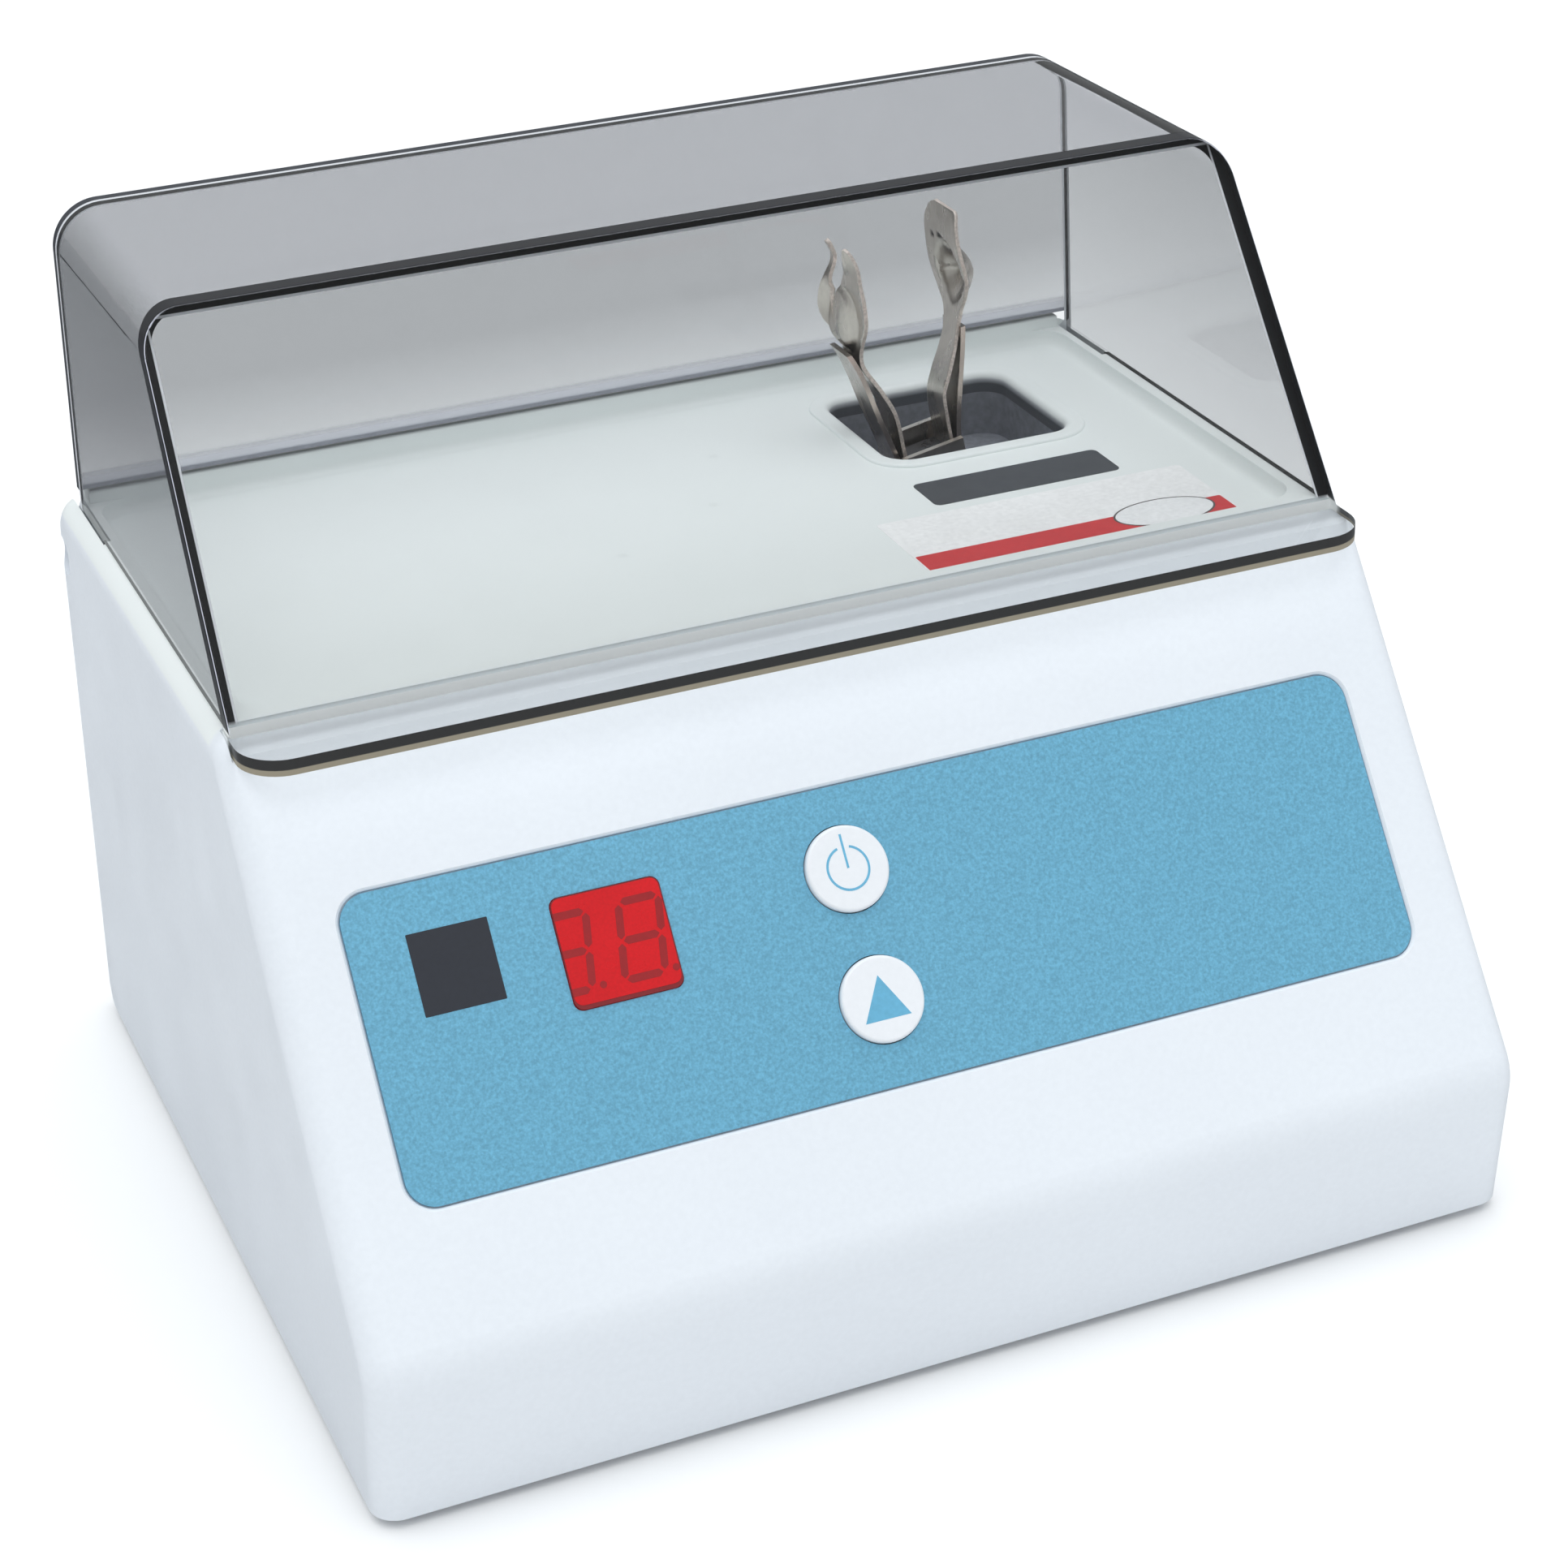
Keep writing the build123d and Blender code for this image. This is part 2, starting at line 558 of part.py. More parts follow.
# ---------------------------------------------------------------- controls on the slope
def control_overlay():
    middle = (PANEL_LOW + PANEL_HIGH) / 2
    height = PANEL_HIGH - PANEL_LOW
    plate = slope_plate(0, middle, 2 * PANEL_HALF_WIDTH, height, -POCKET_DEPTH, -PANEL_RECESS, PANEL_RADIUS)
    plate = plate - display_opening(-WALL, WALL)
    for up in (POWER_UP, TIME_UP):
        plate = plate - slope_disc(BUTTON_X, up, BUTTON_RADIUS + BUTTON_FIT, -WALL, WALL)
    return plate


def display_window():
    glass = slope_plate(DISPLAY_X, DISPLAY_UP, DISPLAY_WIDTH, DISPLAY_HEIGHT, -WALL, -PANEL_RECESS,
                        DISPLAY_RADIUS)
    flange = slope_plate(DISPLAY_X, DISPLAY_UP, DISPLAY_WIDTH + 2 * WINDOW_FLANGE,
                         DISPLAY_HEIGHT + 2 * WINDOW_FLANGE, -WALL - PANEL_THICKNESS, -WALL, DISPLAY_RADIUS)
    return glass + flange


def display_module():
    return slope_plate(MODULE_X, DISPLAY_UP, MODULE_WIDTH, MODULE_HEIGHT, -BOARD_DEPTH,
                       -WALL - PANEL_THICKNESS - PANEL_RECESS, PANEL_THICKNESS)


def push_button(up):
    flange_top = -WALL - PANEL_RECESS / 2
    cap = slope_disc(BUTTON_X, up, BUTTON_RADIUS, flange_top - BUTTON_FLANGE, BUTTON_PROUD)
    top = cap.edges().sort_by(lambda e: slope_plane.to_local_coords(e.center()).Z)[-1:]
    cap = fillet(top, BUTTON_ROUNDING)
    flange = slope_disc(BUTTON_X, up, BUTTON_RADIUS + BUTTON_FLANGE, flange_top - BUTTON_FLANGE, flange_top)
    stem = slope_disc(BUTTON_X, up, STEM_RADIUS, -BUTTON_FOOT, flange_top - BUTTON_FLANGE)
    return cap + flange + stem


def button_switches():
    switches = []
    for up in (POWER_UP, TIME_UP):
        top = -BOARD_DEPTH + SWITCH_HEIGHT
        body = slope_plate(BUTTON_X, up, SWITCH_SIZE, SWITCH_SIZE, -BOARD_DEPTH, top, PANEL_THICKNESS)
        switches.append(body + slope_disc(BUTTON_X, up, PLUNGER_RADIUS, top, top + PLUNGER_HEIGHT))
    return switches


def control_board():
    board = slope_plate(BOARD_X, BOARD_UP, BOARD_LENGTH, BOARD_WIDTH, -BOARD_DEPTH - BOARD_THICKNESS,
                        -BOARD_DEPTH, PANEL_THICKNESS)
    for x, up in board_fixings():
        board = board - slope_disc(x, up, BOARD_SCREW + SCREW_FIT, -2 * BOARD_DEPTH, 0)
    return board


def control_board_screws():
    under = -BOARD_DEPTH - BOARD_THICKNESS
    screws = []
    for x, up in board_fixings():
        head = slope_disc(x, up, BOARD_SCREW_HEAD, under - SCREW_HEAD_LENGTH, under)
        screws.append(head + slope_disc(x, up, BOARD_SCREW, under, -2 * WALL - BOARD_THICKNESS / 2))
    return screws


# ---------------------------------------------------------------- cover
def window_face_y(z):
    """Outer face of the window, which runs parallel to the slope."""
    return WINDOW_FOOT_Y + (z - WINDOW_FOOT_Z) / tan(SLOPE)


def cover_section(y, inset, top_z, bend):
    """The cover's outline across its width: leaning sides and two bends."""
    lean = tan(radians(COVER_LEAN_DEG))
    low = COVER_HALF_WIDTH - inset + (RIM_Z - LIP_Z) * lean
    high = COVER_HALF_WIDTH - inset - (top_z - RIM_Z) * lean
    face = outline([((-low, LIP_Z), 0), ((low, LIP_Z), 0), ((high, top_z), bend), ((-high, top_z), bend)])
    return Plane(origin=(0, y, 0), x_dir=(1, 0, 0), z_dir=(0, -1, 0)) * face


def cover_tunnel(inset, top_z):
    """The bent sheet's surface; its bends open out from the window to the back."""
    front = cover_section(WINDOW_FOOT_Y - LIP_REACH, inset, top_z, BEND_FRONT - inset)
    back = cover_section(COVER_BACK_Y + COVER_BACK, inset, top_z, BEND_BACK - inset)
    return loft([front, back], ruled=True)


def cover_envelope():
    """The cover's outside: the bent surface, cut off along the window and the back panel."""
    above = COVER_TOP_Z + LIP_REACH
    profile = outline([
        ((window_face_y(LIP_Z), LIP_Z), 0),
        ((window_face_y(above), above), 0),
        ((COVER_BACK_Y, above), 0),
        ((COVER_BACK_Y, LIP_Z), 0),
    ])
    envelope = cover_tunnel(0, COVER_TOP_Z) & extrude(Plane.YZ * profile, amount=OVERSIZE, both=True)
    middle = envelope.edges().filter_by_position(Axis.X, -BEND_BACK, BEND_BACK)
    return fillet(middle.sort_by(Axis.Z)[-2:], PANE_EDGE)


def behind_window(depth):
    """Everything more than depth behind the window's outer face."""
    shift = depth / sin(SLOPE)
    low, high = LIP_Z - LIP_REACH, COVER_TOP_Z + LIP_REACH
    face = make_face(Polyline((window_face_y(low) + shift, low), (window_face_y(high) + shift, high),
                              (OVERSIZE, high), (OVERSIZE, low), close=True).edges())
    return extrude(Plane.YZ * face, amount=OVERSIZE, both=True)


def hinge_tab():
    front = COVER_BACK_Y - COVER_BACK - TAB_LENGTH
    strip = Pos(front + TAB_LENGTH / 2, RIM_Z + COVER_SIDE / 4) * Rectangle(TAB_LENGTH, COVER_SIDE)
    eye = Pos(HINGE_Y, HINGE_Z) * Circle(TAB_RADIUS)
    plate = make_hull(strip.edges() + eye.edges()) - Pos(HINGE_Y, HINGE_Z) * Circle(PIN_RADIUS + PIN_FIT)
    return Pos(TAB_OUTER_X - TAB_THICKNESS, 0, 0) * extrude(Plane.YZ * plate, amount=TAB_THICKNESS)


def cover_hood(envelope):
    hood = envelope & behind_window(WINDOW_THICKNESS + COVER_SEAM)
    hood = hood - cover_tunnel(COVER_SIDE, COVER_TOP_Z - COVER_TOP)
    hood = hood & block((-OVERSIZE, OVERSIZE), (-OVERSIZE, COVER_BACK_Y - COVER_BACK - COVER_SEAM),
                        (COVER_Z, OVERSIZE))
    for tab in both_sides(hinge_tab()):
        hood = hood + tab
    return hood


def cover_back_panel(envelope):
    return envelope & block((-OVERSIZE, OVERSIZE), (COVER_BACK_Y - COVER_BACK, OVERSIZE),
                            (RIM_Z + BACK_PANEL_GAP, OVERSIZE))


def cover_front_window(envelope):
    pane = envelope - behind_window(WINDOW_THICKNESS)
    front = WINDOW_FOOT_Y - LIP_REACH
    back = window_face_y(WINDOW_FOOT_Z) + WINDOW_THICKNESS / sin(SLOPE)
    face = make_face(Polyline((-LIP_HALF_WIDTH, front), (LIP_HALF_WIDTH, front), (LIP_HALF_WIDTH, back),
                              (-LIP_HALF_WIDTH, back), close=True).edges())
    face = fillet(face.vertices().sort_by(Axis.Y)[:2], LIP_RADIUS)
    lip = extrude(Pos(0, 0, LIP_Z) * face, amount=LIP_THICKNESS)
    return pane + lip


def hinge_pins():
    head = rod("x", PIN_HEAD_RADIUS, SLOT_OUTER_X + PIN_FIT, SLOT_OUTER_X + PIN_FIT + PIN_HEAD_LENGTH,
               (HINGE_Y, HINGE_Z))
    shank = rod("x", PIN_RADIUS, SLOT_INNER_X - SLOT_WALL, SLOT_OUTER_X + PIN_FIT, (HINGE_Y, HINGE_Z))
    return both_sides(head + shank)


def latch_rod(radius, tip_x):
    return rod("x", radius, SLOT_INNER_X - SLOT_WALL, tip_x, (LATCH_PLUNGER_Y, LATCH_PLUNGER_Z))


def cover_switch():
    """A switch beside the right-hand hinge slot; the tab pushes its plunger."""
    face_x = SLOT_INNER_X - SLOT_WALL
    body = block((face_x - LATCH_WIDTH, face_x), (LATCH_Y - LATCH_LENGTH / 2, LATCH_Y + LATCH_LENGTH / 2),
                 (DECK_UNDER_Z - LATCH_HEIGHT, DECK_UNDER_Z))
    return body + latch_rod(LATCH_PLUNGER, TAB_OUTER_X - TAB_THICKNESS - LATCH_GAP)


# ---------------------------------------------------------------- mixing head
# Fork outlines: (height above the bearing, distance from the arm's middle plane).
LEFT_BLADE = [(0, 5.2), (9, 5.2), (16, 5.5), (21.5, 7.3), (27.5, 9.9), (31, 10.2), (36, 8.9), (42, 8.2),
              (47.5, 8.1), (52.4, 9.3)]
RIGHT_BLADE = [(0, 5.2), (8, 5.0), (14.5, 5.1), (19, 6.4), (26, 9.1), (30.5, 11.0), (36, 11.5), (42, 11.4),
               (48, 12.0), (52.4, 13.6)]
LEFT_LEAF = [(0, 6.2), (7.5, 7.0), (16, 8.8), (27, 10.95), (31.2, 12.4)]
RIGHT_LEAF = [(0, 6.2), (7.5, 6.8), (16.5, 8.8), (28.6, 11.7)]


def fork_side(points, side, thickness, at):
    """One cross-section of a bent blade, in the plane at a given distance from front to back."""
    inner = [(side * (out - thickness / 2), FORK_ROOT + up) for up, out in points]
    outer = [(side * (out + thickness / 2), FORK_ROOT + up) for up, out in points]
    edges = [Spline(*inner), Line(inner[-1], outer[-1]), Spline(*outer), Line(outer[0], inner[0])]
    face = make_face(edges)
    return Plane(origin=(0, at, 0), x_dir=(1, 0, 0), z_dir=(0, -1, 0)) * face


def ease(value):
    """A smooth step from 0 to 1."""
    value = min(max(value, 0), 1)
    return value * value * (3 - 2 * value)


def head_form(points, at, curl, curl_side):
    """The blade's profile at one distance from the middle, with the pressed dish and curled wing."""
    formed = []
    for up, out in points:
        height = FORK_ROOT + up
        near = max(0.0, 1 - ((height - HEAD_UP) / (HEAD_UP - NECK_UP)) ** 2)
        dish = DISH_DEPTH * near * max(0.0, 1 - (at / DISH_HALF) ** 2)
        wing = curl * near * ease(curl_side * at / HEAD_HALF)
        formed.append((up, out + dish + wing))
    return formed


def rivet_holes(radius):
    holes = [rod("x", radius, -OVERSIZE, OVERSIZE, (y * BLADE_HALF / 2, RIVET_UP)) for y in (-1, 1)]
    return holes[0] + holes[1]


def fork(points, side, curl, curl_side):
    stations = [-HEAD_HALF * 1.05, -HEAD_HALF * 0.6, 0, HEAD_HALF * 0.6, HEAD_HALF * 1.05]
    sections = [fork_side(head_form(points, at, curl, curl_side), side, FORK_SHEET, at) for at in stations]
    sheet = loft(sections)
    right_edge = [(BLADE_HALF, FORK_ROOT + 22), (NECK_HALF, NECK_UP), (HEAD_HALF * 0.93, HEAD_UP - 4),
                  (HEAD_HALF * 0.93, HEAD_UP + 4), (TIP_HALF, FORK_TIP)]
    left_edge = [(-u, v) for u, v in right_edge]
    low = FORK_ROOT - FORK_SHEET
    form = make_face([
        Line((-BLADE_HALF, low), (BLADE_HALF, low)),
        Line((BLADE_HALF, low), right_edge[0]),
        Spline(*right_edge),
        Line(right_edge[-1], left_edge[-1]),
        Spline(*left_edge),
        Line(left_edge[0], (-BLADE_HALF, low)),
    ])
    stencil = extrude(Plane.YZ * form, amount=OVERSIZE, both=True)
    return (sheet & stencil) - rivet_holes(RIVET_RADIUS + SCREW_FIT)


def prong_notch():
    """The gap that splits the left fork's head into two prongs."""
    top = FORK_TIP + FORK_SHEET
    low, high = HEAD_UP + NOTCH_UP, top + TIP_HALF
    slot = Pos(0, (low + high) / 2) * SlotOverall(high - low, NOTCH_WIDTH, rotation=90)
    return extrude(Plane.YZ * slot, amount=OVERSIZE, both=True)


def left_fork():
    return arm_frame * (fork(LEFT_BLADE, -1, CURL_LEFT, 1) - prong_notch())


def right_fork():
    return arm_frame * fork(RIGHT_BLADE, 1, CURL_RIGHT, -1)


def backing_leaf(points, side):
    sheet = extrude(fork_side(points, side, LEAF_SHEET, 0), amount=BLADE_HALF, both=True)
    return arm_frame * (sheet - rivet_holes(RIVET_RADIUS + SCREW_FIT))


def fork_rivets(side):
    inner = BLOCK_HALF - 2 * RIVET_RADIUS
    outer = BLOCK_HALF + 2 * PANEL_RECESS + FORK_SHEET + LEAF_SHEET
    rivets = []
    for y in (-1, 1):
        at = (y * BLADE_HALF / 2, RIVET_UP)
        shank = rod("x", RIVET_RADIUS, *sorted((side * inner, side * outer)), at)
        head = rod("x", RIVET_HEAD, *sorted((side * outer, side * (outer + RIVET_HEAD_LENGTH))), at)
        rivets.append(arm_frame * (shank + head))
    return rivets


def fork_bracket():
    """A folded U that holds both forks, with the block that they're riveted to."""
    width = (-BRACKET_HALF, BRACKET_HALF)
    bracket = block(width, width, (STEM_TOP, FORK_ROOT - FORK_SHEET / 4))
    for y in (-1, 1):
        wall = sorted((y * BRACKET_HALF, y * (BRACKET_HALF - BRACKET_SHEET)))
        bracket = bracket + block(width, wall, (STEM_TOP, BRACKET_TOP))
    core = block((-BLOCK_HALF, BLOCK_HALF), (-BLADE_HALF, BLADE_HALF), (STEM_TOP, BLOCK_TOP))
    return arm_frame * (bracket + core - rivet_holes(RIVET_HOLE))


def fork_arm():
    ring = rod("x", RING_RADIUS, -BEARING_HALF, BEARING_HALF)
    stem = block((-STEM_X / 2, STEM_X / 2), (-STEM_Y / 2, STEM_Y / 2), (RACE_RADIUS + STEM_GAP, STEM_TOP))
    stem = fillet(stem.edges().filter_by(Axis.Z), STEM_ROUNDING)
    lugs = rod("y", LUG_RADIUS, -LUG_REACH, LUG_REACH)
    arm = ring + stem + lugs
    arm = arm - rod("x", RACE_RADIUS, -OVERSIZE, OVERSIZE)
    return arm_frame * arm


def bearing_outer_race():
    race = rod("x", RACE_RADIUS, -BEARING_HALF, BEARING_HALF)
    return arm_frame * (race - Sphere(RACE_BORE))


def bearing_balls():
    balls = []
    for i in range(BALL_COUNT):
        angle = 2 * pi * i / BALL_COUNT
        place = Pos(0, BALL_CIRCLE * cos(angle), BALL_CIRCLE * sin(angle))
        balls.append(arm_frame * place * Sphere(BALL_RADIUS))
    return balls


def bearing_inner_race():
    race = rod("x", INNER_RACE_RADIUS, -INNER_RACE_HALF, INNER_RACE_HALF)
    race = race - rod("x", HUB_RADIUS, -OVERSIZE, OVERSIZE)
    race = race - Rot(0, 90, 0) * Torus(BALL_CIRCLE, BALL_RADIUS + BALL_FIT)
    return arm_frame * race


def skew_hub():
    hub = arm_frame * rod("x", HUB_RADIUS, -INNER_RACE_HALF, INNER_RACE_HALF)
    bore = rod("x", SHAFT_RADIUS, -OVERSIZE, OVERSIZE, (WELL_Y, PIVOT_Z))
    return hub - bore


def well_block(margin, low, high):
    """A block over the well's opening, larger than it by the margin all round."""
    length = WELL_LENGTH + 2 * margin
    width = WELL_WIDTH + 2 * margin
    return rounded_block(length, width, low, high, WELL_RADIUS + margin, (WELL_X, WELL_Y))


def well_boot():
    """A rubber cup clipped under the well, with a slot for the moving arm."""
    flange = well_block(PAD_MARGIN, DECK_UNDER_Z - BOOT_WALL, DECK_UNDER_Z)
    cup = well_block(BOOT_WALL, BOOT_FLOOR_Z - BOOT_WALL, DECK_UNDER_Z)
    inside = well_block(0, BOOT_FLOOR_Z, RIM_Z)
    centre = (WELL_X, WELL_Y)
    low = BOOT_FLOOR_Z - 2 * BOOT_WALL
    slot = rounded_block(BOOT_SLOT_X, BOOT_SLOT_Y, low, RIM_Z, WELL_RADIUS, centre)
    return flange + cup - inside - slot


# ---------------------------------------------------------------- motor
def on_axis(radius, low, high):
    return rod("x", radius, low, high, (WELL_Y, PIVOT_Z))


def motor_shaft():
    left = CAN_LEFT_X - BELL_LENGTH - FAN_LENGTH - 2 * WALL
    return on_axis(SHAFT_RADIUS, left, WELL_X + INNER_RACE_HALF + WALL)


def motor_can():
    can = on_axis(CAN_RADIUS, CAN_LEFT_X, CAN_RIGHT_X)
    return can - on_axis(CAN_RADIUS - CAN_SHEET, -OVERSIZE, OVERSIZE)


def motor_stator():
    outer = CAN_RADIUS - CAN_SHEET
    ring = on_axis(outer, CAN_LEFT_X + BELL_LENGTH, CAN_RIGHT_X - BELL_LENGTH)
    return ring - on_axis(outer - STATOR_THICKNESS, -OVERSIZE, OVERSIZE)


def motor_rotor():
    core = on_axis(ROTOR_RADIUS, CAN_LEFT_X + BELL_LENGTH, CAN_RIGHT_X - BELL_LENGTH)
    core = core - on_axis(SHAFT_RADIUS, -OVERSIZE, OVERSIZE)
    for i in range(ROTOR_SLOTS):
        groove = Pos(0, ROTOR_RADIUS, 0) * Box(OVERSIZE, 2 * STATOR_THICKNESS, ROTOR_SLOT)
        core = core - Pos(0, WELL_Y, PIVOT_Z) * Rot(360 / ROTOR_SLOTS * i, 0, 0) * groove
    return core


def motor_bell(at, way):
    """An end bell with its bearing boss; way is the side that faces out."""
    end = at + way * BELL_LENGTH
    plate = on_axis(CAN_RADIUS, *sorted((at, at + way * BELL_LENGTH / 2)))
    boss = on_axis(HUB_RADIUS + WALL, *sorted((at, end)))
    return plate + boss - on_axis(SHAFT_RADIUS + SCREW_FIT, -OVERSIZE, OVERSIZE)


def cooling_fan():
    right = CAN_LEFT_X - BELL_LENGTH - WALL / 2
    left = right - FAN_LENGTH
    fan = on_axis(HUB_RADIUS, left, right)
    for i in range(FAN_BLADES):
        blade = Pos(0, (HUB_RADIUS + FAN_RADIUS) / 2 - FAN_SHEET, 0) * Rot(0, FAN_PITCH_DEG, 0)
        blade = blade * Box(FAN_CHORD, FAN_RADIUS - HUB_RADIUS + FAN_SHEET, FAN_SHEET)
        fan = fan + Pos((left + right) / 2, WELL_Y, PIVOT_Z) * Rot(360 / FAN_BLADES * i, 0, 0) * blade
    return fan - on_axis(SHAFT_RADIUS, -OVERSIZE, OVERSIZE)


def saddle_places():
    return [CAN_LEFT_X + STRAP_WIDTH, CAN_RIGHT_X - STRAP_WIDTH]


def motor_cradle():
    """A folded sheet base with two saddles that carry the motor."""
    cradle = block((CAN_LEFT_X, WELL_X + STRAP_WIDTH), (WELL_Y - CRADLE_HALF_Y, WELL_Y + CRADLE_HALF_Y),
                   (CRADLE_Z, CRADLE_Z + CRADLE_SHEET))
    width = CAN_RADIUS + STRAP_WIDTH / 2
    for x in saddle_places():
        left, right = x - STRAP_WIDTH / 2, x + STRAP_WIDTH / 2
        wall = block((left, left + CRADLE_SHEET), (WELL_Y - width, WELL_Y + width), (CRADLE_Z, PIVOT_Z))
        seat = block((left, right), (WELL_Y - width, WELL_Y + width), (PIVOT_Z - SEAT_DEPTH, PIVOT_Z))
        seat = seat & on_axis(CAN_RADIUS + CRADLE_SHEET, left, right)
        ears = block((left, right), (WELL_Y - width, WELL_Y + width), (PIVOT_Z - CRADLE_SHEET, PIVOT_Z))
        cradle = cradle + wall + seat + ears
    cradle = cradle - on_axis(CAN_RADIUS, CAN_LEFT_X, CAN_RIGHT_X)
    return cradle


def motor_straps():
    straps = []
    for x in saddle_places():
        ring = Circle(CAN_RADIUS + STRAP_SHEET) - Circle(CAN_RADIUS)
        feet = Pos(0, STRAP_SHEET / 2) * Rectangle(2 * (CAN_RADIUS + STRAP_WIDTH / 2), STRAP_SHEET)
        upper = Pos(0, CAN_RADIUS) * Rectangle(4 * CAN_RADIUS, 2 * CAN_RADIUS)
        band = (ring + feet - Circle(CAN_RADIUS)) & upper
        band = Plane.YZ * (Pos(WELL_Y, PIVOT_Z) * band)
        straps.append(Pos(x - STRAP_WIDTH / 2, 0, 0) * extrude(band, amount=STRAP_WIDTH))
    return straps


def motor_isolators():
    pads = []
    for x in (CAN_LEFT_X + STRAP_WIDTH, WELL_X):
        for s in (-1, 1):
            y = WELL_Y + s * (CRADLE_HALF_Y - STRAP_WIDTH / 2)
            pad = rod("z", STRAP_WIDTH / 2, PLATE_TOP_Z, CRADLE_Z, (x, y))
            waist = rod("z", STRAP_WIDTH, PLATE_TOP_Z + WALL, CRADLE_Z - WALL, (x, y))
            pads.append(pad - (waist - rod("z", ISOLATOR_WAIST, PLATE_TOP_Z, CRADLE_Z, (x, y))))
    return pads


def lug_places():
    """Where the springs hook on, just inside the ends of the arm's lugs."""
    reach = LUG_REACH - 2 * SPRING_WIRE
    return [WELL_Y - reach, WELL_Y + reach]


def arm_springs():
    """Two tension springs that keep the arm from turning with the bearing."""
    springs = []
    low = CRADLE_Z + SPRING_FOOT
    pitch = (SPRING_TOP - low) / SPRING_COILS
    for y in lug_places():
        points = [(0, low)]
        for i in range(SPRING_COILS):
            points.append((SPRING_RADIUS, low + pitch * (i + 0.5)))
            points.append((SPRING_GROOVE, low + pitch * (i + 1)))
        points.append((0, SPRING_TOP))
        coil = revolve(Plane.XZ * make_face(Polyline(*points, close=True).edges()), Axis.Z)
        hook = rod("z", SPRING_WIRE, SPRING_TOP - SPRING_WIRE, PIVOT_Z - LUG_RADIUS - SPRING_WIRE)
        eye = rod("y", LUG_RADIUS + 2 * SPRING_WIRE, -SPRING_WIRE, SPRING_WIRE)
        eye = eye - rod("y", LUG_RADIUS + PIN_FIT, -WALL, WALL)
        springs.append(Pos(WELL_X, y, 0) * (coil + hook) + Pos(WELL_X, y, PIVOT_Z) * eye)
    return springs


def spring_posts():
    return [rod("z", SPRING_RADIUS, CRADLE_Z + CRADLE_SHEET, CRADLE_Z + SPRING_FOOT, (WELL_X, y))
            for y in lug_places()]


# ---------------------------------------------------------------- mains parts
def inlet_cutout():
    face = RectangleRounded(INLET_WIDTH + PANEL_GAP, INLET_HEIGHT + PANEL_GAP, PANEL_THICKNESS)
    return back_plane * Pos(-INLET_X, INLET_UP, -3 * WALL) * extrude(face, amount=6 * WALL)


def power_inlet():
    body = extrude(RectangleRounded(INLET_WIDTH, INLET_HEIGHT, PANEL_THICKNESS), amount=-INLET_DEPTH)
    rim = extrude(RectangleRounded(INLET_WIDTH + 2 * INLET_FLANGE, INLET_HEIGHT + 2 * INLET_FLANGE, WALL),
                  amount=INLET_RIM)
    inlet = back_plane * Pos(-INLET_X, INLET_UP, 0) * (body + rim)
    half = SOCKET_WIDTH / 2
    low, high = -SOCKET_HEIGHT / 2, SOCKET_HEIGHT / 2
    mouth = outline([((x, y), 0) for x, y in (
        (-half, low), (half, low), (half, high - SOCKET_CORNER), (half - SOCKET_CORNER, high),
        (SOCKET_CORNER - half, high), (-half, high - SOCKET_CORNER))])
    mouth = back_plane * Pos(-INLET_X, SOCKET_UP, INLET_RIM - SOCKET_DEPTH) * extrude(mouth, amount=OVERSIZE)
    slot = Rectangle(INLET_WIDTH - 2 * WALL + PIN_FIT, DRAWER_HEIGHT + PIN_FIT)
    slot = back_plane * Pos(-INLET_X, DRAWER_UP, INLET_RIM - SOCKET_DEPTH) * extrude(slot, amount=OVERSIZE)
    return inlet - mouth - slot


def inlet_pins():
    length = SOCKET_DEPTH - 2 * WALL
    blade = Box(PLUG_PIN_WIDTH, PLUG_PIN_HEIGHT, length, align=(Align.CENTER, Align.CENTER, Align.MIN))
    places = [(-PLUG_PIN_PITCH, -PLUG_PIN_DROP), (0, EARTH_PIN_RISE), (PLUG_PIN_PITCH, -PLUG_PIN_DROP)]
    low = INLET_RIM - SOCKET_DEPTH
    return [back_plane * Pos(x - INLET_X, SOCKET_UP + up, low) * blade for x, up in places]


def fuse_drawer():
    drawer = extrude(Rectangle(INLET_WIDTH - 2 * WALL, DRAWER_HEIGHT), amount=SOCKET_DEPTH + DRAWER_PROUD)
    grip = Pos(0, DRAWER_HEIGHT / 4, SOCKET_DEPTH + DRAWER_PROUD) * Box(DRAWER_HEIGHT, WALL / 2, WALL)
    return back_plane * Pos(-INLET_X, DRAWER_UP, INLET_RIM - SOCKET_DEPTH) * (drawer + grip)


def mains_places():
    x = MAINS_LENGTH / 2 - POST_RADIUS
    y = MAINS_WIDTH / 2 - POST_RADIUS
    return [(MAINS_X + i * x, MAINS_Y + j * y) for i in (-1, 1) for j in (-1, 1)]


def power_board():
    board = block((MAINS_X - MAINS_LENGTH / 2, MAINS_X + MAINS_LENGTH / 2),
                  (MAINS_Y - MAINS_WIDTH / 2, MAINS_Y + MAINS_WIDTH / 2),
                  (BOARD_Z, BOARD_Z + BOARD_THICKNESS))
    for at in mains_places():
        board = board - rod("z", SCREW_RADIUS + SCREW_FIT, PLATE_TOP_Z, OVERSIZE, at)
    return board


def power_board_spacers():
    spacers = []
    for at in mains_places():
        spacer = rod("z", SCREW_HEAD, PLATE_TOP_Z, BOARD_Z, at)
        stud = rod("z", SCREW_RADIUS, BOARD_Z, BOARD_Z + BOARD_THICKNESS + WALL / 2, at)
        spacers.append(spacer + stud)
    return spacers


